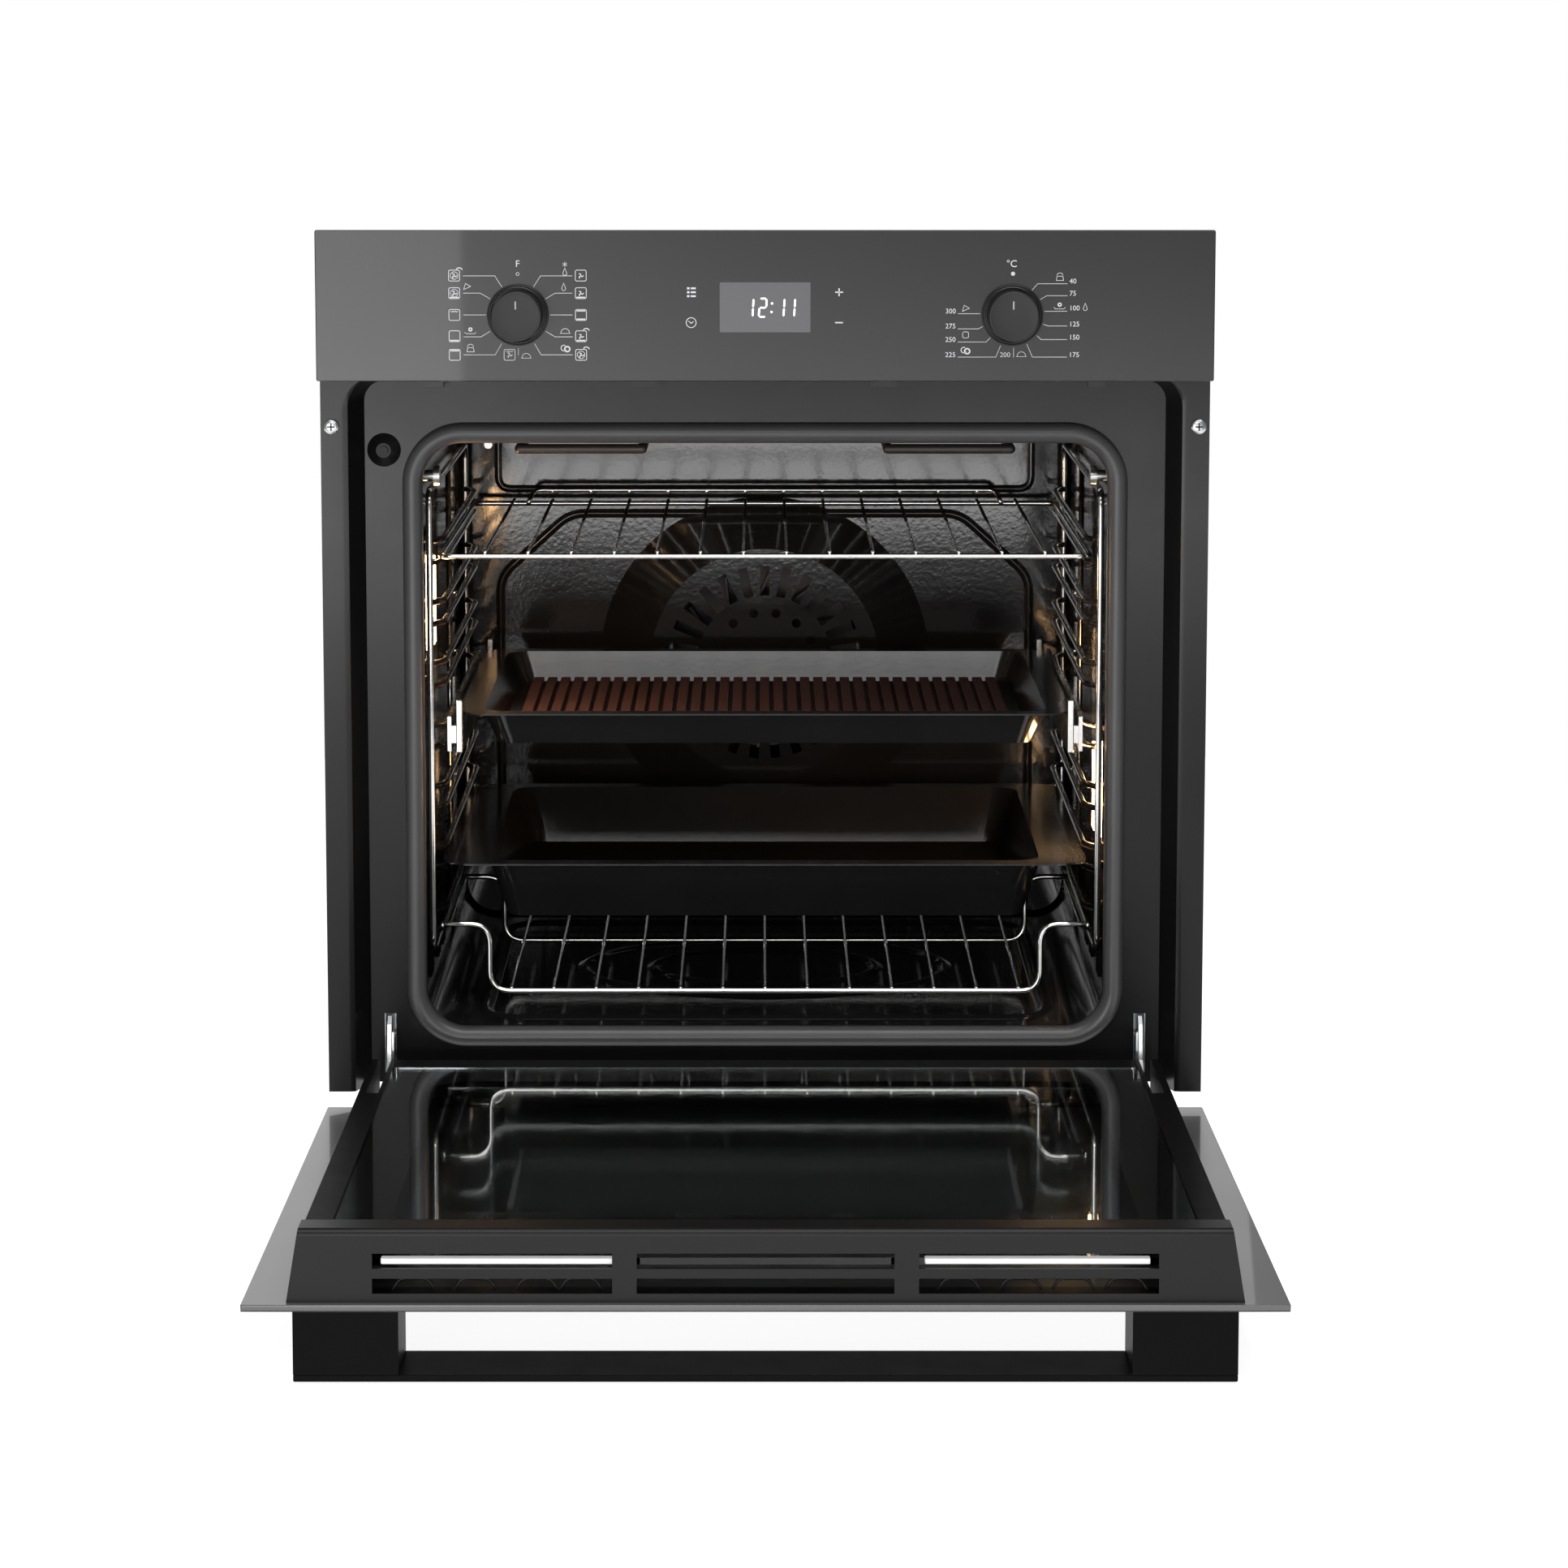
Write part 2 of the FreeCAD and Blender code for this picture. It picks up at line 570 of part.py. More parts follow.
def runners():
    """Telescopic runners: fixed rail, middle member and slider with its tray stops."""
    z = level_z(RUNNER_LEVEL)
    x = RUNG_X - RUNG_R - 0.1
    rail_w, middle_w, slider_w = 2.6, 3.2, 4.2
    y0, y1 = SHELF_Y0 - 4, SHELF_Y1 - 8
    low, top = z - 3, z + 21
    PARTS["runner_rails"] = both_sides(box(-x, -x + rail_w, y0 + 6, y1, low, top))
    x -= rail_w + RUNNER_GAP
    middle = box(-x, -x + middle_w, y0 + 4, y1 - 2, z + 3, z + 15)
    PARTS["runner_middles"] = both_sides(middle)
    x -= middle_w + RUNNER_GAP
    bar = box(-x, -x + slider_w, y0, y1 - 4, low, top)
    nose = box(-x, -x + slider_w, y0, y0 + 7, top, top + 12)
    tail = box(-x, -x + slider_w, y1 - 10, y1 - 4, top, top + 8)
    PARTS["runner_sliders"] = both_sides(bar.fuse(nose).fuse(tail).removeSplitter())
    return top


def wire_shelf():
    """Top grid shelf with fine rods and a raised guard at the back, wire by wire."""
    z = level_z(0) + RUNG_R + WIRE_R + 0.1
    back = SHELF_Y1 - 4
    frame = bent_rod([(-WIRE_HALF, SHELF_Y0, z), (WIRE_HALF, SHELF_Y0, z), (WIRE_HALF, back, z),
                      (-WIRE_HALF, back, z), (-WIRE_HALF, SHELF_Y0, z)], WIRE_R)
    wires = [frame]
    rods, pitch = 14, 29.4
    lift = WIRE_R + FINE_R + WELD_GAP
    for i in range(rods):
        x = (i - (rods - 1) / 2) * pitch
        wires.append(rod((x, SHELF_Y0 - 1.5, z + lift), (x, back + 1.5, z + lift), FINE_R))
    guard_z = z + 10.5
    guard = bent_rod([(-180, back - 14, z + 1), (-174, back - 3, guard_z),
                      (174, back - 3, guard_z), (180, back - 14, z + 1)], GUARD_R)
    feet = [rod((x, back - 13, z + 1), (x, back, z), GUARD_R - 0.2) for x in (-180, 180)]
    wires.append(guard.multiFuse(feet).cut(frame))
    return Part.makeCompound([solid for wire in wires for solid in wire.Solids])


def pan(z_rim, depth, halves, rim_y, top_y, low_y):
    """Sheet tray: flat rim, sloping walls and a flat floor."""
    wall = TRAY_WALL
    z_low = z_rim - depth
    rim_half, top_half, low_half = halves

    def level_outline(half, ys, z, r):
        """Rounded rectangle in a level plane."""
        flat = round_wire(-half, half, -ys[1], -ys[0], r, 0)
        flat.rotate(Vec(0, 0, 0), Vec(1, 0, 0), 90)
        flat.translate(Vec(0, 0, z))
        return flat

    rim = Part.Face(level_outline(rim_half, rim_y, z_rim, 22)).extrude(Vec(0, 0, wall))
    outside = tapered(level_outline(top_half, top_y, z_rim, 18),
                      level_outline(low_half, low_y, z_low, 14))
    inside_top = level_outline(top_half - wall, (top_y[0] + wall, top_y[1] - wall),
                               z_rim + wall, 17)
    inside_low = level_outline(low_half - wall, (low_y[0] + wall, low_y[1] - wall),
                               z_low + wall, 13)
    inside = tapered(inside_top, inside_low)
    return rim.fuse(outside).cut(inside).removeSplitter()


def trays(runner_top):
    """Baking tray on the runners, its slatted insert, and the deep tray below."""
    z_rim = runner_top + 0.3
    rim_y = (SHELF_Y0 + 5, SHELF_Y1 - 22)
    top_y = (rim_y[0] + 12, rim_y[1] - 12)
    low_y = (top_y[0] + 6, top_y[1] - 6)
    PARTS["baking_tray"] = pan(z_rim, TRAY_DEPTH, (212, 196, 186), rim_y, top_y, low_y)
    floor = z_rim - TRAY_DEPTH + TRAY_WALL
    y0, y1 = low_y[0] + 14, low_y[1] - 14
    frame = box(-INSERT_HALF, INSERT_HALF, y0, y1, floor + 0.1, floor + 1.2)
    pieces = []
    count, pitch, slat_half = 35, 10.0, 3.5
    for i in range(count):
        x = (i - (count - 1) / 2) * pitch
        pieces.append(box(x - slat_half, x + slat_half, y0, y1, floor + 1, floor + 5))
    PARTS["tray_insert"] = frame.multiFuse(pieces).removeSplitter()
    z_deep = level_z(DEEP_TRAY_LEVEL) + RUNG_R + 0.1
    PARTS["deep_tray"] = pan(z_deep, DEEP_TRAY_DEPTH, (223, 192, 180),
                             (SHELF_Y0 + 1, SHELF_Y1 - 22), (SHELF_Y0 + 14, SHELF_Y1 - 36),
                             (SHELF_Y0 + 26, SHELF_Y1 - 48))


def dropped_rack():
    """Low roasting rack: hoops whose shoulders rest on the last level, two rails and 13 rods."""
    z = level_z(LOW_RACK_LEVEL) + RUNG_R + WIRE_R + 0.1
    drop, back_drop = LOW_RACK_DROP, 11.0
    back = SHELF_Y1 - 4
    end = WIRE_HALF - WIRE_R
    wires = []
    for y, depth, half in ((SHELF_Y0, drop, 190), (SHELF_Y0 + 170, drop, 190), (back, back_drop, 186)):
        points = [(-end, y, z), (-198, y, z), (-half, y, z - 8), (-half, y, z - depth + 6),
                  (-half + 7, y, z - depth)]
        points += [(-x, yy, zz) for x, yy, zz in reversed(points)]
        wires.append(bent_rod(points, WIRE_R))
    for side in (-1, 1):
        ends = [(side * WIRE_HALF, SHELF_Y0, z), (side * WIRE_HALF, back, z)]
        balls = [Part.makeSphere(WIRE_R, Vec(*p)) for p in ends]
        wires.append(rod(*ends, WIRE_R).multiFuse(balls))
    rods, pitch = 13, 29.2
    lift = WIRE_R + FINE_R + WELD_GAP
    for i in range(rods):
        x = (i - (rods - 1) / 2) * pitch
        points = [(x, SHELF_Y0 - 1.5, z - drop + lift), (x, SHELF_Y1 - 40, z - drop + lift),
                  (x, back, z - back_drop + lift)]
        wires.append(bent_rod(points, FINE_R))
    return Part.makeCompound([solid for wire in wires for solid in wire.Solids])


# ---- controls -------------------------------------------------------------------------
def control_panel():
    """Glass fascia with two spindle holes, and the sheet box that carries it."""
    half = FRONT_W / 2
    glass = round_slab(-half, half, PANEL_Z0, FRONT_TOP, 1.2, FRONT_Y, FRONT_Y + GLASS)
    glass = glass.makeChamfer(0.5, [e for e in glass.Edges
                                    if abs(e.BoundBox.YMax - FRONT_Y) < 0.01])
    holes = [disc_y(x, KNOB_Z, SPINDLE_HOLE_R, FRONT_Y - 1, FRONT_Y + 9)
             for x in (-KNOB_X, KNOB_X)]
    PARTS["control_panel"] = glass.cut(Part.makeCompound(holes))
    y0, y1 = FRONT_Y + GLASS, CABINET_Y - SHEET
    w = half - 3
    shell = box(-w, w, y0, y1, PANEL_Z0 + 2, FRONT_TOP - 3)
    hollow = box(-w + SHEET, w - SHEET, y0 + SHEET, y1 + 1, PANEL_Z0 + 2 + SHEET,
                 FRONT_TOP - 3 - SHEET)
    window = box(-DISPLAY_W / 2, DISPLAY_W / 2, y0 - 1, y0 + 3, DISPLAY_Z - DISPLAY_H / 2,
                 DISPLAY_Z + DISPLAY_H / 2)
    PARTS["panel_bracket"] = shell.cut(hollow).cut(window).cut(Part.makeCompound(holes))


def display_and_board():
    """Clock display behind its window, and the control board that it is plugged on."""
    y0 = FRONT_Y + GLASS
    w, h = DISPLAY_W / 2 - 0.3, DISPLAY_H / 2 - 0.3
    PARTS["clock_display"] = box(-w, w, y0 + 0.1, y0 + 9, DISPLAY_Z - h, DISPLAY_Z + h)
    PARTS["control_board"] = box(-70, 70, y0 + 9.1, y0 + 10.7, DISPLAY_Z - 26, DISPLAY_Z + 26)


def knobs():
    """Two turning knobs with their spindles, bezel rings and rotary switches."""
    y_face = FRONT_Y
    bezels, switches = [], []
    for name, side in (("function_knob", -1), ("temperature_knob", 1)):
        x = side * KNOB_X
        ring = disc_y(x, KNOB_Z, BEZEL_R, y_face - 3, y_face)
        bezels.append(ring.cut(disc_y(x, KNOB_Z, SPINDLE_HOLE_R, y_face - 4, y_face + 1)))
        cone = Part.makeCone(KNOB_R + 1.6, KNOB_R, KNOB_OUT - 3.4,
                             Vec(x, y_face - 3.4, KNOB_Z), Vec(0, -1, 0))
        edge = [e for e in cone.Edges if abs(e.BoundBox.YMax - (y_face - KNOB_OUT)) < 0.01]
        cone = cone.makeFillet(1.4, edge)
        mark = box(x - 0.6, x + 0.6, y_face - KNOB_OUT - 0.3, y_face - KNOB_OUT + 1,
                   KNOB_Z + 5, KNOB_Z + 13)
        spindle = disc_y(x, KNOB_Z, SPINDLE_R, y_face - 4, y_face + 14)
        PARTS[name] = cone.multiFuse([mark, spindle]).removeSplitter()
        can = box(x - 22, x + 22, y_face + 10.5, y_face + 40, KNOB_Z - 22, KNOB_Z + 22)
        switches.append(can.cut(disc_y(x, KNOB_Z, SPINDLE_R + PIVOT_PLAY, y_face, y_face + 16)))
    PARTS["knob_bezels"] = Part.makeCompound(bezels)
    PARTS["rotary_switches"] = Part.makeCompound(switches)


def cabinet_screws():
    """Screws through the flange into the cabinet sides, with washers' rims and slots."""
    y0 = CABINET_Y - SHEET
    screws = []
    for side in (-1, 1):
        x = side * SCREW_X
        head = disc_y(x, SCREW_Z, 5.2, y0 - 2.6, y0)
        shank = disc_y(x, SCREW_Z, 2.0, y0 - 1, CABINET_Y + 14)
        slots = [box(x - 3.4, x + 3.4, y0 - 3, y0 - 1.6, SCREW_Z - 0.6, SCREW_Z + 0.6),
                 box(x - 0.6, x + 0.6, y0 - 3, y0 - 1.6, SCREW_Z - 3.4, SCREW_Z + 3.4)]
        screws.append(head.fuse(shank).cut(Part.makeCompound(slots)))
    return Part.makeCompound(screws)


def door_switch():
    """Round boot of the door switch and its sprung plunger."""
    x = -HINGE_X
    tip = PLATE_Y - 7.0
    cone = Part.makeCone(11.4, 5.0, 5.0, Vec(x, PLATE_Y, SWITCH_Z), Vec(0, -1, 0))
    bore = disc_y(x, SWITCH_Z, 3.05, PLATE_Y - 9, PLATE_Y + 16)
    barrel = disc_y(x, SWITCH_Z, 3.95, PLATE_Y - 1, PLATE_Y + 15)
    PARTS["door_switch_boot"] = cone.fuse(barrel).cut(bore).removeSplitter()
    PARTS["door_switch_plunger"] = disc_y(x, SWITCH_Z, 3.0, tip, PLATE_Y + 8)


# ---- cooling fan, air path and supply -------------------------------------------------
def cooling_blower():
    """Cross-flow blower that draws air over the controls: housing, wheel and motor."""
    x0, x1 = -BLOWER_L / 2, BLOWER_L / 2
    wall = 1.2

    def along(start, end, radius):
        """Cylinder on the blower's axis."""
        return rod((start, BLOWER_Y, BLOWER_Z), (end, BLOWER_Y, BLOWER_Z), radius)

    outer = along(x0 - 8, x1 + 8, BLOWER_R + 10)
    inner = along(x0 - 5, x1 + 5, BLOWER_R + 10 - wall)
    mouth = box(x0 - 4, x1 + 4, BLOWER_Y - 60, BLOWER_Y, BLOWER_Z - 30, BLOWER_Z)
    inlet = box(x0 - 4, x1 + 4, BLOWER_Y - 24, BLOWER_Y + 24, BLOWER_Z, BLOWER_Z + 60)
    bores = along(x0 - 10, x1 + 10, BLOWER_SHAFT_R + PIVOT_PLAY)
    PARTS["blower_housing"] = outer.cut(inner).cut(Part.makeCompound([mouth, inlet, bores]))
    pieces = [along(x, x + 4, BLOWER_R) for x in (x0, -2, x1 - 4)]
    pieces.append(along(x0 - 14, x1 + 12, BLOWER_SHAFT_R))
    vanes = 20
    for i in range(vanes):
        vane = box(x0, x1, BLOWER_Y - 0.6, BLOWER_Y + 0.6, BLOWER_Z + BLOWER_R - 9,
                   BLOWER_Z + BLOWER_R - 0.5)
        vane.rotate(Vec(0, BLOWER_Y, BLOWER_Z), Vec(1, 0, 0), 360.0 * i / vanes)
        pieces.append(vane)
    PARTS["blower_wheel"] = pieces[0].multiFuse(pieces[1:])
    motor = along(x0 - 50, x0 - 8.2, 26)
    PARTS["blower_motor"] = motor.cut(along(x0 - 16, x0, BLOWER_SHAFT_R + PIVOT_PLAY))


def air_duct():
    """Flat duct above the insulation that leads air to the gap over the door."""
    y0, y1 = PLATE_Y + 8, BLOWER_Y - 40
    half, wall = DUCT_HALF, 1.2
    outer = box(-half, half, y0, y1, DUCT_Z0, DUCT_Z1)
    return outer.cut(box(-half + wall, half - wall, y0 - 1, y1 + 1, DUCT_Z0 + wall,
                         DUCT_Z1 - wall))


def vent_posts():
    """Small spacers under the roof of the recess that keep the air gap open."""
    posts = []
    for x0, x1 in ((-228, -215), (-90, -71), (70, 89), (216, 228)):
        posts.append(box(x0, x1, CABINET_Y + 3, CABINET_Y + 12, 476.8, RECESS_TOP))
    return posts


def terminal_block():
    """Mains terminal box in the rear cover, with its cable gland."""
    y1 = -CABINET_Y
    case = box(*TERMINAL_X, y1 - 30, y1 + 6, *TERMINAL_Z)
    gland = disc_y(GLAND_X, GLAND_Z, 9, y1 + 6, y1 + 18)
    bore = disc_y(GLAND_X, GLAND_Z, 5.5, y1 - 4, y1 + 19)
    return case.fuse(gland).cut(bore)


# ---- hinges ---------------------------------------------------------------------------
def hinge_pieces():
    """Receivers in the frame, hooked arms, their lock levers and the door's pins."""
    x0 = HINGE_X - HINGE_ARM_T / 2
    x1 = HINGE_X + HINGE_ARM_T / 2
    y_in = PLATE_Y + LINER_T
    z0, z1 = SHEET + 0.2, 46
    walls = [box(x0 - 3.4, x0 - 1.9, y_in, y_in + 34, z0, z1),
             box(x1 + 1.9, x1 + 3.4, y_in, y_in + 34, z0, z1),
             box(x0 - 3.4, x1 + 3.4, y_in + 34, y_in + 36, z0, z1)]
    receiver = walls[0].multiFuse(walls[1:]).removeSplitter()
    PARTS["hinge_receivers"] = both_sides(receiver)
    arm = outline_x([(HINGE_Y, HINGE_Z - HINGE_BOSS_R), (HINGE_Y + 10, HINGE_Z - 4),
                     (PLATE_Y - 4, 4), (y_in + 28, 4), (y_in + 28, 24), (y_in + 4, 24),
                     (y_in + 4, 40), (PLATE_Y - 3, 43), (PLATE_Y - 9, 38), (PLATE_Y - 13, 14),
                     (HINGE_Y + 10, HINGE_Z + 7), (HINGE_Y, HINGE_Z + HINGE_BOSS_R)], x0, x1)
    arm = arm.fuse(rod((x0, HINGE_Y, HINGE_Z), (x1, HINGE_Y, HINGE_Z), HINGE_BOSS_R))
    arm = arm.cut(rod((x0 - 1, HINGE_Y, HINGE_Z), (x1 + 1, HINGE_Y, HINGE_Z),
                      HINGE_PIN_R + PIVOT_PLAY))
    pivot = (PLATE_Y - 7.0, 16.0)
    arm = arm.cut(rod((x0 - 1, *pivot), (x1 + 1, *pivot), 2.05))
    PARTS["hinge_arms"] = both_sides(arm)
    lever = outline_x([(pivot[0] - 4, pivot[1] - 5), (pivot[0] + 4, pivot[1] - 5),
                       (pivot[0] + 4, pivot[1] + 9), (pivot[0] + 1, pivot[1] + 17),
                       (pivot[0] - 3, pivot[1] + 17), (pivot[0] - 4, pivot[1] + 4)],
                      x0 - 1.6, x0 - 0.3)
    stub = rod((x0 - 1.6, *pivot), (x1 + 0.4, *pivot), 2.0)
    lock = lever.fuse(stub).removeSplitter()
    PARTS["hinge_lock_right"] = lock
    PARTS["hinge_lock_left"] = mirror_x(lock)
    pin = rod((HINGE_X - HINGE_SLOT / 2 - 4, HINGE_Y, HINGE_Z),
              (HINGE_X + HINGE_SLOT / 2 + 4, HINGE_Y, HINGE_Z), HINGE_PIN_R)
    PARTS["hinge_pins"] = turn_open(both_sides(pin))


# ---- door, built closed ---------------------------------------------------------------
def door_glasses():
    """Outer, middle and inner panes."""
    half = FRONT_W / 2
    outer = round_slab(-half, half, DOOR_BOTTOM, DOOR_TOP, 1.2, FRONT_Y, FRONT_Y + GLASS)
    holes = []
    for side in (-1, 1):
        for z in POST_SCREW_Z:
            holes.append(disc_y(side * POST_MID, z, POST_SCREW_R + 0.5, FRONT_Y - 1, FRONT_Y + 9))
    PARTS["door_outer_glass"] = turn_open(outer.cut(Part.makeCompound(holes)))
    z0, z1 = HINGE_Z + 26, CAP_TOP - CAP_H
    y1 = FRONT_Y + DOOR_THICK
    inner = round_slab(-INNER_GLASS_HALF, INNER_GLASS_HALF, z0, z1, 4, y1 - GLASS, y1)
    PARTS["door_inner_glass"] = turn_open(inner)
    y = FRONT_Y + 18
    middle = round_slab(-240, 240, z0 + 4, z1 - 4, 4, y, y + GLASS)
    PARTS["door_middle_glass"] = turn_open(middle)


def flared_body(z0, z1, y0, y1):
    """Solid with the flared sides of the inner door body."""
    def half_at(y):
        """Half width of the flared body at a depth."""
        t = (y - FRONT_Y - GLASS) / (CAP_THICK - GLASS)
        return DOOR_HALF_OUT + (DOOR_HALF_IN - DOOR_HALF_OUT) * t

    a, b = half_at(y0), half_at(y1)
    loop = [Vec(-a, y0, z0), Vec(a, y0, z0), Vec(b, y1, z0), Vec(-b, y1, z0)]
    return Part.Face(Part.makePolygon(loop + loop[:1])).extrude(Vec(0, 0, z1 - z0))


def door_side_profiles():
    """Upright profiles at the door's sides, slotted at the foot for the hinge arms."""
    y0, y1 = FRONT_Y + GLASS, FRONT_Y + DOOR_THICK
    z0, z1 = HINGE_Z + 0.5, CAP_TOP - CAP_H
    body = flared_body(z0, z1, y0, y1)
    body = body.cut(box(-INNER_GLASS_HALF - 0.2, INNER_GLASS_HALF + 0.2, y0 - 1, y1 + 1,
                        z0 - 1, z1 + 1))
    cuts = []
    for side in (-1, 1):
        x = side * HINGE_X
        cuts.append(box(x - HINGE_SLOT / 2, x + HINGE_SLOT / 2, y0 - 1, y1 + 1, z0 - 1, 95))
        cuts.append(rod((x - 9, HINGE_Y, HINGE_Z), (x + 9, HINGE_Y, HINGE_Z), HINGE_PIN_R))
    return turn_open(body.cut(Part.makeCompound(cuts)))


def door_bottom_profile():
    """Cross profile at the door's foot that carries the inner pane."""
    y0, y1 = FRONT_Y + GLASS, FRONT_Y + DOOR_THICK
    half = INNER_GLASS_HALF
    z0, z1 = HINGE_Z + 4, HINGE_Z + 26
    profile = box(-half, half, y0, y1, z0, z1)
    hollow = box(-half - 1, half + 1, y0 + 2, y1 - 2, z0 + 2, z1 + 1)
    return turn_open(profile.cut(hollow))


def door_cap():
    """Vented cap along the door's top: a hollow lip profile with two rows of slots."""
    y0, y1 = FRONT_Y + GLASS, FRONT_Y + CAP_THICK
    z0, z1 = CAP_TOP - CAP_H, CAP_TOP
    cap = flared_body(z0, z1, y0, y1)
    step = box(-PAST, PAST, FRONT_Y + DOOR_THICK + 0.2, y1 + 1, z0 - 1, z0 + 4)
    cap = cap.cut(step)
    edge = [e for e in cap.Edges if abs(e.BoundBox.YMin - y1) < 0.01
            and abs(e.BoundBox.ZMin - z1) < 0.01 and e.Length > 100]
    cap = cap.makeFillet(4.0, edge)
    hollow = box(-255, 255, y0 + 2, y1 - 3, z0 - 1, z1 - 2.5)
    cuts = [hollow]
    for side in (-1, 1):
        cuts.append(disc_y(side * POST_MID, POST_SCREW_Z[1], 5.5, y0 - 1, y0 + 3))
    for offset in (9.5, 24.0):
        for x0, x1 in ((-221, -85), (-71, 75), (89, 225)):
            cuts.append(box(x0 - 2, x1 - 2, y0 + offset - 4.4, y0 + offset + 4.4, z1 - 4, z1 + 1))
    return turn_open(cap.cut(Part.makeCompound(cuts)))


def handle_pieces():
    """Flat grip plate on two wide posts, with screws through the outer glass."""
    y_post = FRONT_Y - HANDLE_OUT
    w = HANDLE_W / 2
    plate = box(-w, w, y_post - HANDLE_T, y_post, HANDLE_Z0, HANDLE_Z1)
    PARTS["handle_plate"] = turn_open(plate)
    post = box(w - HANDLE_POST_W, w, y_post, FRONT_Y, HANDLE_Z0, HANDLE_Z1)
    screws, threads = [], []
    for z in POST_SCREW_Z:
        threads.append(disc_y(POST_MID, z, POST_SCREW_R, FRONT_Y - 16, FRONT_Y + 1))
        shank = disc_y(POST_MID, z, POST_SCREW_R, FRONT_Y - 15, FRONT_Y + GLASS + 1)
        screws.append(shank.fuse(disc_y(POST_MID, z, 4.5, FRONT_Y + GLASS, FRONT_Y + GLASS + 1.9)))
    PARTS["handle_posts"] = turn_open(both_sides(post.cut(Part.makeCompound(threads))))
    pair = Part.makeCompound(screws)
    PARTS["handle_screws"] = turn_open(Part.makeCompound([pair, mirror_x(pair)]))


# ---- whole oven -----------------------------------------------------------------------
def build():
    """Make every piece and write one file for each."""
    for make in (base_plate, side_casings, top_cover, rear_cover, front_frame,
                 cavity_front_plate, door_gasket, cavity_liner, insulation, fan_panel,
                 convection_fan, fan_motor, ring_heater, grill_element, bottom_element,
                 thermostat_bulb, rack_nuts, wire_shelf, dropped_rack, cabinet_screws,
                 air_duct, terminal_block, door_side_profiles, door_bottom_profile, door_cap):
        PARTS[make.__name__] = make()
    rack = side_rack()
    PARTS["side_rack_left"] = rack
    PARTS["side_rack_right"] = mirror_x(rack)
    lamp_pieces()
    trays(runners())
    control_panel()
    display_and_board()
    knobs()
    door_switch()
    cooling_blower()
    hinge_pieces()
    door_glasses()
    handle_pieces()
    os.makedirs("parts", exist_ok=True)
    for name, shape in PARTS.items():
        shape.exportStep("parts/" + name + ".step")
        solids = len(shape.Solids)
        print(name, solids, "valid" if shape.isValid() else "NOT VALID", round(shape.Volume))
    print(len(PARTS), "nodes")


build()
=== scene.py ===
"""Built-in wall oven, door down, shelves in: finishes, printing, lamps, wire goods and soft edges."""

import json
import math

import bmesh
import bpy
import numpy as np
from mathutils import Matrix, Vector

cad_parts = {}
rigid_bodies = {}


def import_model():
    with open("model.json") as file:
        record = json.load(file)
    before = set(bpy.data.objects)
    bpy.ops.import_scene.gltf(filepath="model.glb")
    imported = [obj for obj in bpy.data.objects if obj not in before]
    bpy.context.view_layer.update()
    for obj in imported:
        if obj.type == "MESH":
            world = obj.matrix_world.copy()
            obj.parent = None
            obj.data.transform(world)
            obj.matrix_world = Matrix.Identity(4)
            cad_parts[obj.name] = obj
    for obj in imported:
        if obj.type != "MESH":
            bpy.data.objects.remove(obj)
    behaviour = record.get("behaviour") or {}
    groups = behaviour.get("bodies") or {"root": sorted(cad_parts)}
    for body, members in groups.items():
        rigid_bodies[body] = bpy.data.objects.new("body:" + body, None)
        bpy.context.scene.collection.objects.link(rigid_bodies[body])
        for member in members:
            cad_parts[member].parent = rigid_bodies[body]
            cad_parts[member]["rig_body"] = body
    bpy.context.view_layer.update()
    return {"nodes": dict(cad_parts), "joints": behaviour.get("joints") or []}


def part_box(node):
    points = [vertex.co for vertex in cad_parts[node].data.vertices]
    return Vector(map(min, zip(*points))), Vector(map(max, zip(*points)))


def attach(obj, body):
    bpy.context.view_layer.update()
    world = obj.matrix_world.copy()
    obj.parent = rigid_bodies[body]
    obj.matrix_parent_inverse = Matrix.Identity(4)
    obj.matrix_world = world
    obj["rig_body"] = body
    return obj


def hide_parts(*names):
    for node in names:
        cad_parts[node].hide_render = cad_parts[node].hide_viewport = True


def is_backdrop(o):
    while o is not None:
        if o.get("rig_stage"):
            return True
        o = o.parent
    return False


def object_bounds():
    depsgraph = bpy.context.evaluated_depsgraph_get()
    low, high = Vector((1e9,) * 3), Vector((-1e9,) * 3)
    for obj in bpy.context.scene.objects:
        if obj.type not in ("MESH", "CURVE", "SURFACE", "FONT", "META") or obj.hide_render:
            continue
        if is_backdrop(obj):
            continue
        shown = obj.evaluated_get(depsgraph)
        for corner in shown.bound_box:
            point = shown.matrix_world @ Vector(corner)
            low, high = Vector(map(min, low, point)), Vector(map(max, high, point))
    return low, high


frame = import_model()
NODES = frame["nodes"]
MM = 0.001
OPEN_DEG = 89.0


# ---- places worked out from the frame --------------------------------------------------
def low(node):
    """Lowest corner of a node."""
    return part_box(node)[0]


PANEL_LO, PANEL_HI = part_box("control_panel")
FRONT_Y = PANEL_LO.y
PANEL_TOP = PANEL_HI.z
PLATE_Y = low("cavity_front_plate").y
HINGE = next(j for j in frame["joints"] if j["name"] == "door_hinge")["pos_m"]
HINGE_Y, HINGE_Z = HINGE[1], HINGE[2]
CAVITY_X = 0.234
CAVITY_FLOOR = 0.033
LAMP_Z = {-1: 0.321, 1: 0.1896}      # heights of the left and right cavity lamps
LAMP_Y = PLATE_Y + 0.062
DOME_H = 0.015                       # the slotted dome stands this far off the rear panel
FAN_PANEL_FRONT = low("fan_panel").y + DOME_H


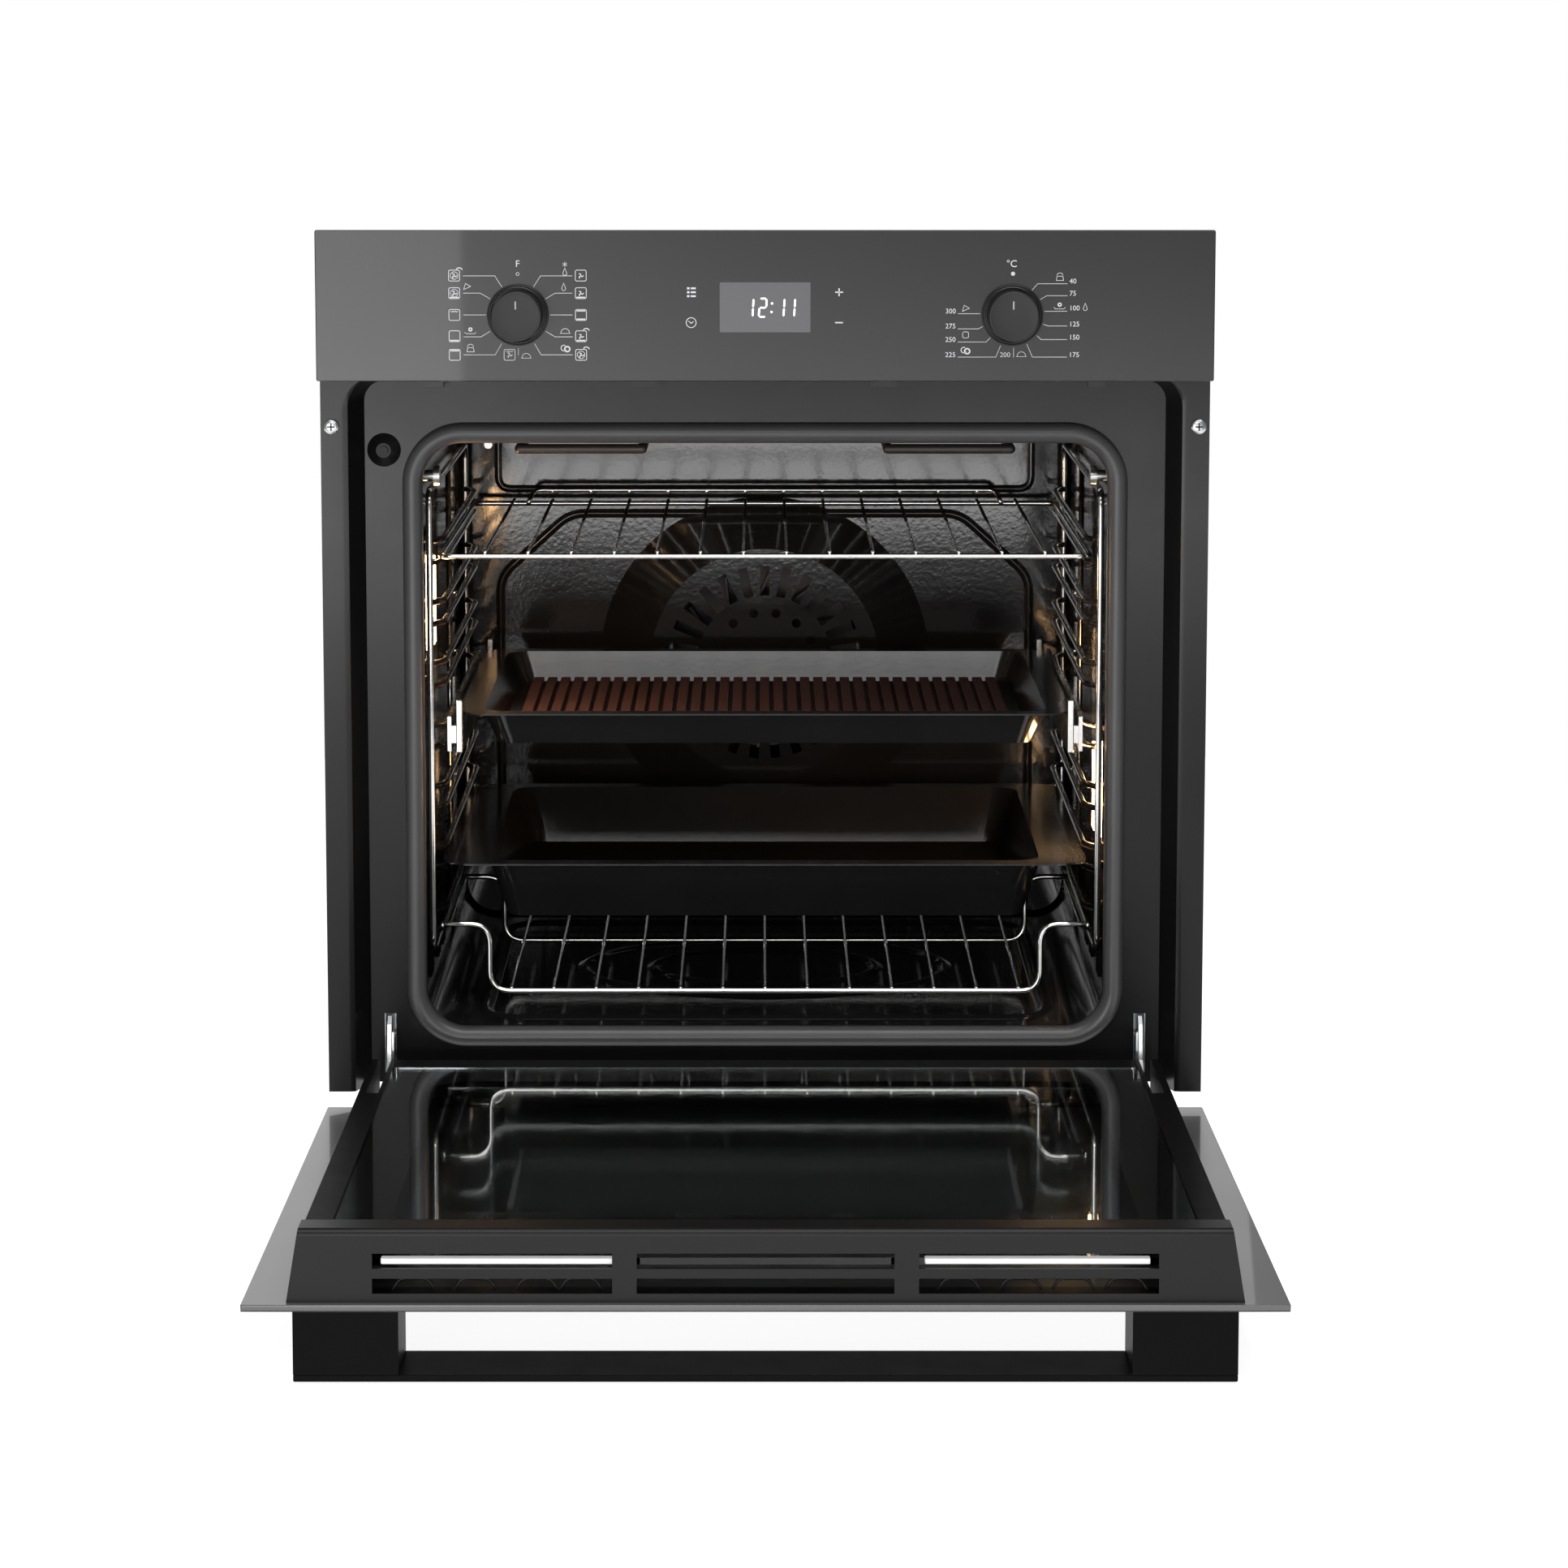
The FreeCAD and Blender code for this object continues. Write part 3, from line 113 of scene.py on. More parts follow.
def opened(points):
    """Closed-door points turned about the hinge line: y and z rotate by the opening angle."""
    p = np.asarray(points, float).copy()
    a = math.radians(OPEN_DEG)
    dy, dz = p[..., 1] - HINGE_Y, p[..., 2] - HINGE_Z
    p[..., 1] = HINGE_Y + dy * math.cos(a) - dz * math.sin(a)
    p[..., 2] = HINGE_Z + dy * math.sin(a) + dz * math.cos(a)
    return p


# ---- shader maths ----------------------------------------------------------------------
class Sock:
    """A shader value that adds its Math nodes as Python operators are used on it."""

    def __init__(self, maker, link):
        self.maker, self.link = maker, link

    def op(self, kind, *others):
        """A Math node on this value and others."""
        return self.maker.node("ShaderNodeMath", {"operation": kind}, [self, *others])

    def __add__(self, other):
        return self.op("ADD", other)

    def __mul__(self, other):
        return self.op("MULTIPLY", other)


class Finish:
    """One material: a Principled shader with its constants set, and helpers that add nodes to it."""

    def __init__(self, name, color, roughness, metallic=0.0, **sockets):
        self.mat = bpy.data.materials.new(name)
        self.mat.use_nodes = True
        self.tree = self.mat.node_tree
        self.bsdf = self.tree.nodes["Principled BSDF"]
        self.set("Base Color", (*color, 1.0))
        self.set("Roughness", roughness)
        self.set("Metallic", metallic)
        for key, value in sockets.items():
            self.set(key.replace("_", " "), value)

    def node(self, kind, settings=None, inputs=(), output=0):
        """Any node: settings first, then values or links of its sockets by order or name."""
        made = self.tree.nodes.new(kind)
        for key, value in (settings or {}).items():
            setattr(made, key, value)
        pairs = inputs.items() if isinstance(inputs, dict) else enumerate(inputs)
        for key, value in pairs:
            if isinstance(value, Sock):
                self.tree.links.new(value.link, made.inputs[key])
            elif value is not None:
                made.inputs[key].default_value = value
        return Sock(self, made.outputs[output])

    def set(self, socket, value):
        """Give a socket of the shader a value or a link."""
        if isinstance(value, Sock):
            self.tree.links.new(value.link, self.bsdf.inputs[socket])
        else:
            self.bsdf.inputs[socket].default_value = value

    def place(self, scale=(1, 1, 1)):
        """Object coordinates, scaled along each axis."""
        coordinates = self.tree.nodes.new("ShaderNodeTexCoord")
        mapping = self.tree.nodes.new("ShaderNodeMapping")
        mapping.inputs["Scale"].default_value = scale
        self.tree.links.new(coordinates.outputs["Object"], mapping.inputs["Vector"])
        return Sock(self, mapping.outputs[0])

    def noise(self, scale, detail=3.0, stretch=(1, 1, 1), roughness=0.5):
        """Smooth noise from 0 to 1."""
        return self.node("ShaderNodeTexNoise", {}, {"Vector": self.place(stretch), "Scale": scale,
                                                    "Detail": detail, "Roughness": roughness})

    def tones(self, mask, dark, light):
        """A colour between dark and light, by a mask."""
        return self.node("ShaderNodeMix", {"data_type": "RGBA"},
                         {0: mask, 6: (*dark, 1.0), 7: (*light, 1.0)}, output=2)

    def tinted(self, mask, color, dark, light):
        """Base colour between two multiples of one colour, by a mask."""
        ends = [tuple(times * c for c in color) for times in (dark, light)]
        self.set("Base Color", self.tones(mask, *ends))

    def spread(self, base, swing, mask):
        """Roughness that varies about a base value."""
        self.set("Roughness", mask * swing + (base - swing / 2))

    def bump(self, height, depth):
        """Fine relief of a given depth in metres."""
        self.set("Normal", self.node("ShaderNodeBump", {}, {"Height": height, "Distance": depth,
                                                            "Strength": 1.0}))


# ---- finishes --------------------------------------------------------------------------
def enamel(name, tone=0.012, roughness=0.13, peel=0.00004, shine=0.5):
    """Black vitreous enamel: glossy, with a faint orange-peel ripple."""
    f = Finish(name, (tone, tone, tone * 1.08), roughness, Specular_IOR_Level=shine)
    soft = f.noise(14.0)
    f.set("Base Color", f.tones(soft, (tone * 0.7,) * 3, (tone * 1.4, tone * 1.4, tone * 1.5)))
    f.spread(roughness, 0.05, f.noise(30.0))
    f.bump(f.noise(260.0, 2.0), peel)
    return f.mat


def chrome_finish(name, tint=(0.82, 0.81, 0.79), roughness=0.14):
    """Bright chromed wire with slight heat staining."""
    f = Finish(name, tint, roughness, 1.0)
    f.tinted(f.noise(9.0), tint, 0.78, 1.0)
    f.spread(roughness, 0.12, f.noise(60.0))
    f.bump(f.noise(900.0, 1.0), 0.00001)
    return f.mat


def brushed(name, tint, roughness, stretch=(1, 1, 1), grain=400.0):
    """Rolled or plated steel with a fine directional grain."""
    f = Finish(name, tint, roughness, 1.0)
    lines = f.noise(grain, 2.0, stretch)
    f.tinted(lines, tint, 0.82, 1.0)
    f.spread(roughness, 0.16, f.noise(24.0))
    f.bump(lines, 0.00002)
    return f.mat


def galvanised(name):
    """Zinc-coated casing sheet with crystals of different tone."""
    f = Finish(name, (0.5, 0.51, 0.52), 0.4, 1.0)
    cells = f.node("ShaderNodeTexVoronoi", {}, {"Vector": f.place(), "Scale": 150.0}, output=1)
    crystal = f.node("ShaderNodeSeparateColor", {}, [cells])
    f.set("Base Color", f.tones(crystal, (0.46, 0.47, 0.48), (0.56, 0.57, 0.58)))
    f.spread(0.42, 0.1, crystal)
    f.bump(f.noise(500.0), 0.00001)
    return f.mat


def moulded(name, tone, roughness=0.45, grain=1400.0, depth=0.00003, shine=0.5):
    """Moulded plastic or powder coat with a fine even grain."""
    color = tone if isinstance(tone, tuple) else (tone, tone, tone * 1.05)
    f = Finish(name, color, roughness, Specular_IOR_Level=shine)
    f.tinted(f.noise(20.0), color, 0.85, 1.15)
    f.spread(roughness, 0.1, f.noise(45.0))
    f.bump(f.noise(grain, 2.0), depth)
    return f.mat


def coated_glass(name, tone, roughness, coat):
    """Glass painted on its back: deep colour under a smooth clear face."""
    f = Finish(name, tone, roughness, Coat_Roughness=0.03)
    f.tinted(f.noise(6.0), tone, 0.92, 1.08)
    f.spread(roughness, 0.05, f.noise(12.0))
    f.set("Coat Weight", f.noise(8.0) * 0.1 + (coat - 0.05))
    return f.mat


def clear_glass(name, tint=(0.86, 0.9, 0.9), roughness=0.01):
    """Clear pane."""
    f = Finish(name, tint, roughness, Transmission_Weight=1.0, IOR=1.5)
    f.set("Roughness", f.noise(20.0) * 0.02 + roughness)
    return f.mat


def glowing(name, color, strength, base=(0.9, 0.85, 0.75)):
    """Lit surface whose brightness varies a little."""
    f = Finish(name, base, 0.3)
    f.set("Emission Color", f.tones(f.noise(120.0), tuple(0.8 * c for c in color), color))
    f.set("Emission Strength", strength)
    return f.mat


def wool(name):
    """Mineral wool board: matted fibres."""
    f = Finish(name, (0.62, 0.55, 0.38), 0.95)
    fibre = f.noise(180.0, 6.0, (1, 3, 1), 0.7)
    f.set("Base Color", f.tones(fibre, (0.45, 0.38, 0.24), (0.75, 0.68, 0.5)))
    f.bump(fibre, 0.0006)
    return f.mat


def blued_heater(name):
    """Oxidised heating tube with blue and brown patches."""
    f = Finish(name, (0.06, 0.055, 0.055), 0.45, 0.7)
    f.set("Base Color", f.tones(f.noise(40.0), (0.035, 0.035, 0.042), (0.09, 0.075, 0.065)))
    f.spread(0.45, 0.2, f.noise(90.0))
    return f.mat


ENAMEL = enamel("black_enamel", 0.008, 0.09)
FRAME_ENAMEL = enamel("frame_enamel", 0.005, 0.22, 0.00002, shine=0.25)
TRAY_ENAMEL = enamel("tray_enamel", 0.009, 0.14)
CHROME = chrome_finish("chromed_wire")
ZINC = brushed("zinc_plate", (0.66, 0.67, 0.68), 0.28, (1, 1, 12))
BARE_STEEL = brushed("bare_steel", (0.62, 0.61, 0.59), 0.26, (1, 14, 1))
ALUMINIUM = brushed("die_cast_aluminium", (0.75, 0.75, 0.76), 0.35)
CASING = galvanised("galvanised_sheet")
PLASTIC = moulded("black_moulding", 0.006, 0.36, shine=0.25)
KNOB_COAT = moulded("knob_coating", 0.018, 0.42, 2200.0, shine=0.35)
HANDLE_COAT = moulded("handle_powder_coat", 0.004, 0.42, 1800.0, shine=0.04)
SEAL = moulded("gasket_silicone", 0.055, 0.36, 600.0, 0.00004)
PANEL_GLASS = coated_glass("anthracite_glass", (0.009, 0.0086, 0.0096), 0.28, 0.4)
DOOR_GLASS = coated_glass("door_front_glass", (0.09, 0.09, 0.092), 0.3, 0.5)
WINDOW = coated_glass("display_window", (0.11, 0.11, 0.12), 0.3, 0.2)
CLEAR = clear_glass("door_pane")
BULB_GLOW = glowing("bulb_glow", (1.0, 0.62, 0.28), 60.0)
LAMP_GLOW = glowing("lamp_cover_glow", (1.0, 0.6, 0.28), 45.0)
WOOL = wool("mineral_wool")
HEATER = blued_heater("heater_tube")
BROWN = moulded("brown_coating", (0.085, 0.045, 0.045), 0.5, 900.0)
BOARD = moulded("circuit_laminate", (0.03, 0.16, 0.06), 0.5)
BLACK_PRINT = moulded("black_print", 0.006, 0.22, 1500.0, 0.000005)
WHITE_PRINT = moulded("pale_print", (0.72, 0.72, 0.74), 0.5)
DIGIT_GLOW = glowing("digit_glow", (1.0, 1.0, 1.0), 1.6)
POINTER = moulded("pointer_paint", (0.4, 0.4, 0.41), 0.5)
# black rubber of the knob rings; the same finish is also painted shade in the screw slots
RUBBER_AND_SLOT_SHADE = moulded("ring_rubber", 0.008, 0.3, 1500.0)
# rail behind the cap slots: painted light, an emissive strip standing in for a lit pale rail, though it is no
# lamp
RAIL_GLOW_PAINTED = glowing("pale_rail", (0.75, 0.76, 0.78), 0.55, (0.8, 0.8, 0.8))

NODE_FINISH = {
    CASING: ["base_plate", "side_casings", "top_cover", "rear_cover", "air_duct", "panel_bracket"],
    FRAME_ENAMEL: ["front_frame", "cavity_front_plate"],
    ENAMEL: ["cavity_liner", "fan_panel"],
    TRAY_ENAMEL: ["baking_tray", "deep_tray"],
    SEAL: ["door_gasket"],
    WOOL: ["insulation"],
    ALUMINIUM: ["blower_wheel"],
    ZINC: ["fan_motor", "blower_housing", "blower_motor", "hinge_receivers", "hinge_arms",
           "hinge_lock_left", "hinge_lock_right", "cabinet_screws", "handle_screws", "lamp_holders"],
    HEATER: ["convection_fan", "ring_heater", "grill_element", "bottom_element"],
    BARE_STEEL: ["thermostat_bulb", "rack_nuts", "runner_rails", "runner_middles", "runner_sliders",
                 "hinge_pins"],
    CHROME: ["wire_shelf", "dropped_rack", "side_rack_left", "side_rack_right"],
    PLASTIC: ["terminal_block", "door_cap", "knob_bezels", "rotary_switches", "door_switch_boot",
              "door_switch_plunger"],
    HANDLE_COAT: ["door_side_profiles", "door_bottom_profile", "handle_plate", "handle_posts"],
    KNOB_COAT: ["function_knob", "temperature_knob"],
    PANEL_GLASS: ["control_panel"],
    DOOR_GLASS: ["door_outer_glass"],
    CLEAR: ["door_inner_glass", "door_middle_glass"],
    LAMP_GLOW: ["lamp_glasses"],
    BULB_GLOW: ["lamp_bulbs"],
    BROWN: ["tray_insert"],
    BOARD: ["control_board"],
    WINDOW: ["clock_display"],
}
for finish, names in NODE_FINISH.items():
    for name in names:
        NODES[name].data.materials.clear()
        NODES[name].data.materials.append(finish)


# ---- mesh helpers ----------------------------------------------------------------------
def piece(name, points, faces, material, body, smooth=True, replaces=()):
    """A mesh object from points and faces that rides on a body."""
    mesh = bpy.data.meshes.new(name)
    mesh.from_pydata([tuple(p) for p in points], [], [tuple(f) for f in faces])
    mesh.validate()
    mesh.update()
    made = bpy.data.objects.new(name, mesh)
    bpy.context.scene.collection.objects.link(made)
    mesh.materials.append(material)
    mesh.polygons.foreach_set("use_smooth", [smooth] * len(mesh.polygons))
    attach(made, body)
    if replaces:
        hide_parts(*replaces)
    return made


def grid_faces(nu, nv, close_u=False, close_v=False, start=0):
    """Quads between neighbours of a grid of nu by nv points, wrapped where closed."""
    iu = np.arange(nu if close_u else nu - 1)
    iv = np.arange(nv if close_v else nv - 1)
    u, v = np.meshgrid(iu, iv, indexing="ij")
    u2, v2 = (u + 1) % nu, (v + 1) % nv
    quads = np.stack([u * nv + v, u2 * nv + v, u2 * nv + v2, u * nv + v2], -1)
    return (quads.reshape(-1, 4) + start).tolist()


def rounded(corners, radius, steps=6, closed=False):
    """Polyline with rounded corners: at each a quadratic curve between two tangent points."""
    c = np.asarray(corners, float)
    n = len(c)
    out = []
    for i in range(n):
        if not closed and i in (0, n - 1):
            out.append(c[i:i + 1])
            continue
        before, here, after = c[i - 1], c[i], c[(i + 1) % n]
        a, b = before - here, after - here
        la, lb = np.linalg.norm(a), np.linalg.norm(b)
        cut = min(radius, 0.45 * la, 0.45 * lb)
        t = np.linspace(0, 1, steps)[:, None]
        p, q = here + a / la * cut, here + b / lb * cut
        out.append((1 - t) ** 2 * p + 2 * t * (1 - t) * here + t ** 2 * q)
    return np.concatenate(out)


def tube_parts(path, radius, sides=10, closed=False):
    """Round tube along a path: circles square to it, carried with the least twist, and domed ends."""
    p = np.asarray(path, float)
    n = len(p)
    ahead = np.roll(p, -1, 0) - p
    back = p - np.roll(p, 1, 0)
    tangent = ahead / np.maximum(np.linalg.norm(ahead, axis=1, keepdims=True), 1e-9)
    tangent += back / np.maximum(np.linalg.norm(back, axis=1, keepdims=True), 1e-9)
    if not closed:
        tangent[0], tangent[-1] = ahead[0], back[-1]
    tangent /= np.linalg.norm(tangent, axis=1, keepdims=True)
    side = np.cross(tangent[0], (0.31, 0.52, 0.79))
    normals = []
    for t in tangent:
        side = side - t * np.dot(side, t)
        side /= np.linalg.norm(side)
        normals.append(side)
    normal = np.array(normals)
    other = np.cross(tangent, normal)
    a = np.linspace(0, 2 * np.pi, sides, endpoint=False)
    ring = normal[:, None] * np.cos(a)[None, :, None] + other[:, None] * np.sin(a)[None, :, None]
    points = (p[:, None] + radius * ring).reshape(-1, 3)
    faces = grid_faces(n, sides, closed, True)
    if not closed:
        caps = np.array([p[0] - tangent[0] * radius * 0.6, p[-1] + tangent[-1] * radius * 0.6])
        points = np.concatenate([points, caps])
        for j in range(sides):
            k = (j + 1) % sides
            faces.append([n * sides, k, j])
            faces.append([n * sides + 1, (n - 1) * sides + j, (n - 1) * sides + k])
    return points, [f[::-1] for f in faces]


def joined(parts):
    """Several sets of points and faces as one."""
    points, faces, start = [], [], 0
    for p, f in parts:
        points.append(np.asarray(p, float))
        faces += [[i + start for i in face] for face in f]
        start += len(p)
    return np.concatenate(points), faces


def soft_copy(node, width):
    """A CAD piece with its edges rounded: a merged copy with flat faces joined, and a live bevel."""
    source = NODES[node]
    mesh = source.data.copy()
    mesh.name = node + "_shown"
    work = bmesh.new()
    work.from_mesh(mesh)
    bmesh.ops.remove_doubles(work, verts=work.verts, dist=1e-6)
    bmesh.ops.dissolve_limit(work, angle_limit=math.radians(1.0), verts=work.verts, edges=work.edges)
    work.to_mesh(mesh)
    work.free()
    made = bpy.data.objects.new(node + "_shown", mesh)
    bpy.context.scene.collection.objects.link(made)
    mesh.polygons.foreach_set("use_smooth", [True] * len(mesh.polygons))
    bevel = made.modifiers.new("edges", "BEVEL")
    bevel.width = width
    bevel.segments = 2
    bevel.limit_method = "ANGLE"
    bevel.angle_limit = math.radians(40)
    made.modifiers.new("shading", "WEIGHTED_NORMAL")
    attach(made, source["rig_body"])
    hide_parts(node)


# ---- edges of the flat moulded and pressed pieces --------------------------------------
for name, width in (("handle_plate", 0.0008), ("handle_posts", 0.0006), ("door_cap", 0.0006),
                    ("door_side_profiles", 0.0005), ("tray_insert", 0.0003), ("hinge_arms", 0.0003),
                    ("runner_sliders", 0.0006), ("front_frame", 0.0007), ("terminal_block", 0.0008)):
    soft_copy(name, width)


# ---- gasket ----------------------------------------------------------------------------
def loop_frame(x0, x1, z0, z1, radius, arc_steps=14):
    """Rounded rectangle in the XZ plane: points and outward normals, with each corner a quarter circle."""
    points, normals = [], []
    corners = ((x1 - radius, z1 - radius, 0), (x0 + radius, z1 - radius, 90),
               (x0 + radius, z0 + radius, 180), (x1 - radius, z0 + radius, 270))
    for cx, cz, start in corners:
        a = np.radians(np.linspace(start, start + 90, arc_steps))
        n = np.stack([np.cos(a), np.sin(a)], 1)
        points.append(np.array([cx, cz]) + radius * n)
        normals.append(n)
    return np.concatenate(points), np.concatenate(normals)


def door_seal():
    """Gasket: a crowned lip on a flat foot, a profile of (outward, depth) pairs swept round the mouth."""
    lo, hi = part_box("door_gasket")
    tall = hi.y - lo.y
    half = 6.8 * MM
    radius = 27 * MM + half
    path, normal = loop_frame(lo.x + half, hi.x - half, lo.z + half, hi.z - half, radius, 18)
    t = np.linspace(0, np.pi, 15)
    crown = np.stack([half * np.cos(t) * (1 - 0.1 * np.sin(t) ** 2), -tall * np.sin(t) ** 0.55], 1)
    foot = np.array([[-half * 0.98, -0.1 * MM], [half * 0.98, -0.1 * MM]])
    profile = np.concatenate([crown[1:-1], foot])
    out = path[:, None] + normal[:, None] * profile[None, :, :1]
    depth = np.broadcast_to(hi.y + profile[None, :, 1:], (*out.shape[:2], 1))
    points = np.concatenate([out[..., :1], depth, out[..., 1:]], -1)
    n, m = points.shape[:2]
    faces = [f[::-1] for f in grid_faces(n, m, True, True)]
    piece("gasket_seal", points.reshape(-1, 3), faces, SEAL, "body",
          replaces=("door_gasket",))


door_seal()


# ---- wire goods ------------------------------------------------------------------------
LEVELS = 7
LEVEL_PITCH = 42.6 * MM
RUNG_PAIR = 15 * MM
RACK_RISE = 49 * MM      # frame's top above the lower rung of the first level
WIRE_R = 2.0 * MM
FINE_R = 1.2 * MM
WELD_LIFT = WIRE_R + 0.8 * MM


def side_racks():
    """Side racks: pairs of rungs bowed off two uprights, a looped frame and a middle brace."""
    for side, name in ((-1, "side_rack_left"), (1, "side_rack_right")):
        lo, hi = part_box(name)
        lo, hi = np.array(lo), np.array(hi)
        r, bend = 2.5 * MM, 16 * MM
        wall = (lo[0] if side < 0 else hi[0]) - side * r
        rung_x = wall - side * 8.5 * MM
        y0, y1 = lo[1] + r, hi[1] - r
        z0, z1 = lo[2] + r, hi[2] - r
        loop = rounded([(wall, y0, z0), (wall, y0, z1), (wall, y1, z1), (wall, y1, z0)], 12 * MM, 7, True)
        parts = [tube_parts(loop, r, 10, True)]
        middle = (y0 + y1) / 2
        parts.append(tube_parts([(wall, middle, z0), (wall, middle, z1)], WIRE_R, 10))
        for level in range(LEVELS):
            low_z = z1 - RACK_RISE - LEVEL_PITCH * level
            for z in (low_z, low_z + RUNG_PAIR):
                path = rounded([(wall, y0, z), (rung_x, y0 + bend, z), (rung_x, y1 - bend, z),
                                (wall, y1, z)], 9 * MM, 6)
                parts.append(tube_parts(path, 2.25 * MM, 10))
            parts.append(tube_parts([(wall, middle, low_z), (rung_x, middle, low_z)], 1.7 * MM, 8))
        points, faces = joined(parts)
        piece(name + "_wire", points, faces, CHROME, "body", replaces=(name,))


def grid_shelf():
    """Grid shelf: thick rim with rounded corners, fine rods across it, and a raised guard at the back."""
    lo, hi = (np.array(c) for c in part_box("wire_shelf"))
    r = WIRE_R
    z = lo[2] + r
    x, y0, y1 = hi[0] - r, lo[1] + r, hi[1] - r
    rim = rounded([(-x, y0, z), (x, y0, z), (x, y1, z), (-x, y1, z)], 9 * MM, 8, True)
    parts = [tube_parts(rim, r, 12, True)]
    rods, pitch = 14, 29.4 * MM
    for i in range(rods):
        rod_x = (i - (rods - 1) / 2) * pitch
        parts.append(tube_parts([(rod_x, y0 - 1.5 * MM, z + WELD_LIFT),
                                 (rod_x, y1 + 1.5 * MM, z + WELD_LIFT)], FINE_R, 10))
    guard = hi[2] - 1.8 * MM
    half = [(0.176, y1 - 3 * MM, guard), (0.180, y1 - 13 * MM, z + 1 * MM), (0.180, y1, z)]
    path = rounded([(-px, py, pz) for px, py, pz in reversed(half)] + half, 7 * MM, 6)
    parts.append(tube_parts(path, 1.8 * MM, 10))
    points, faces = joined(parts)
    piece("grid_shelf_wire", points, faces, CHROME, "grid_shelf", replaces=("wire_shelf",))


def low_wire_rack():
    """Dropped rack: shouldered hoops that fall in S bends, side rails, and rods that climb at the back."""
    lo, hi = (np.array(c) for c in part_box("dropped_rack"))
    r = WIRE_R
    z = hi[2] - r
    x, y0, y1 = hi[0] - r, lo[1] + r, hi[1] - r
    drop, back_drop = 47 * MM, 11 * MM
    parts = []
    for y, fall, half, bend in ((y0, drop, 0.190, 14 * MM), (y0 + 0.170, drop, 0.190, 14 * MM),
                                (y1, back_drop, 0.186, 5 * MM)):
        hoop = [(-x, y, z), (-half, y, z), (-half, y, z - fall), (half, y, z - fall), (half, y, z), (x, y, z)]
        parts.append(tube_parts(rounded(hoop, bend, 9), r, 12))
    for side in (-1, 1):
        parts.append(tube_parts([(side * x, y0 - r * 0.2, z), (side * x, y1 + r * 0.2, z)], r * 0.99, 12))
    rods, pitch = 13, 29.2 * MM
    bed = z - drop + WELD_LIFT
    for i in range(rods):
        rod_x = (i - (rods - 1) / 2) * pitch
        path = rounded([(rod_x, y0 - 1.5 * MM, bed), (rod_x, y1 - 36 * MM, bed),
                        (rod_x, y1, z - back_drop + WELD_LIFT)], 16 * MM, 6)
        parts.append(tube_parts(path, FINE_R, 10))
    points, faces = joined(parts)
    piece("dropped_rack_wire", points, faces, CHROME, "low_rack", replaces=("dropped_rack",))


side_racks()
grid_shelf()
low_wire_rack()


# ---- flat solids, turned pieces and ribbons --------------------------------------------
def recalculated(obj):
    """Turn a closed piece's faces outwards."""
    work = bmesh.new()
    work.from_mesh(obj.data)
    bmesh.ops.recalc_face_normals(work, faces=work.faces)
    work.to_mesh(obj.data)
    work.free()


def flat_ended(obj):
    """Shade the two end faces of a stacked piece flat, and turn its faces outwards."""
    for face in obj.data.polygons[-2:]:
        face.use_smooth = False
    recalculated(obj)


def outline(x0, x1, z0, z1, radius, inset=0.0, arc_steps=8):
    """Rounded rectangle drawn inset from its edges."""
    r = max(radius - inset, 0.00005)
    return loop_frame(x0 + inset, x1 - inset, z0 + inset, z1 - inset, r, arc_steps)[0]


def stacked(loops):
    """Skin over a stack of equal loops of (x, y, z) points, with both ends capped."""
    n, m = len(loops), len(loops[0])
    faces = grid_faces(n, m, False, True)
    faces.append(list(range(m))[::-1])
    faces.append([(n - 1) * m + i for i in range(m)])
    return np.concatenate(loops), faces


def at_depths(flat, *depths):
    """Copies of an (x, z) outline at several depths."""
    return [np.insert(flat, 1, y, 1) for y in depths]


def slab_parts(x0, x1, z0, z1, radius, y0, y1, edge, steps=3):
    """Plate facing -Y with rolled edges: insets follow a quarter circle at each face."""
    loops = []
    for t in np.linspace(0, np.pi / 2, steps + 1):
        loops.append((edge * (1 - math.sin(t)), y0 + edge * (1 - math.cos(t))))
    for t in np.linspace(np.pi / 2, 0, steps + 1):
        loops.append((edge * (1 - math.sin(t)), y1 - edge * (1 - math.cos(t))))
    made = []
    for inset, y in loops:
        flat = outline(x0, x1, z0, z1, radius, inset)
        made.append(np.stack([flat[:, 0], np.full(len(flat), y), flat[:, 1]], 1))
    return stacked(made)


def turned(profile, x, z, sides=64):
    """Surface of revolution about an axis along Y through (x, z), from (radius, y) pairs."""
    a = np.linspace(0, 2 * np.pi, sides, endpoint=False)
    p = np.asarray(profile, float)
    r, y = p[:, :1], p[:, 1:]
    points = np.stack([x + r * np.cos(a), y + 0 * a, z + r * np.sin(a)], -1)
    faces = grid_faces(len(p), sides, False, True)
    faces.append(list(range(sides)))
    faces.append([(len(p) - 1) * sides + i for i in range(sides)])
    return points.reshape(-1, 3), faces


def ribbon(path, width, y0, y1, closed=False):
    """Flat strip along an (x, z) path, mitred at its corners, between two depths."""
    p = np.asarray(path, float)
    ahead = np.roll(p, -1, 0) - p
    back = p - np.roll(p, 1, 0)
    if not closed:
        ahead[-1], back[0] = back[-1], ahead[0]
    ahead /= np.linalg.norm(ahead, axis=1, keepdims=True)
    back /= np.linalg.norm(back, axis=1, keepdims=True)
    na = np.stack([-ahead[:, 1], ahead[:, 0]], 1)
    nb = np.stack([-back[:, 1], back[:, 0]], 1)
    mid = na + nb
    mid /= np.maximum((mid * na).sum(1, keepdims=True), 0.35)
    left, right = p + mid * width / 2, p - mid * width / 2
    ring = np.stack(at_depths(left, y0) + at_depths(right, y0, y1) + at_depths(left, y1), 1)
    faces = grid_faces(len(p), 4, closed, True)
    if not closed:
        end = (len(p) - 1) * 4
        faces += [[0, 1, 2, 3], [end + 3, end + 2, end + 1, end]]
    return ring.reshape(-1, 3), faces


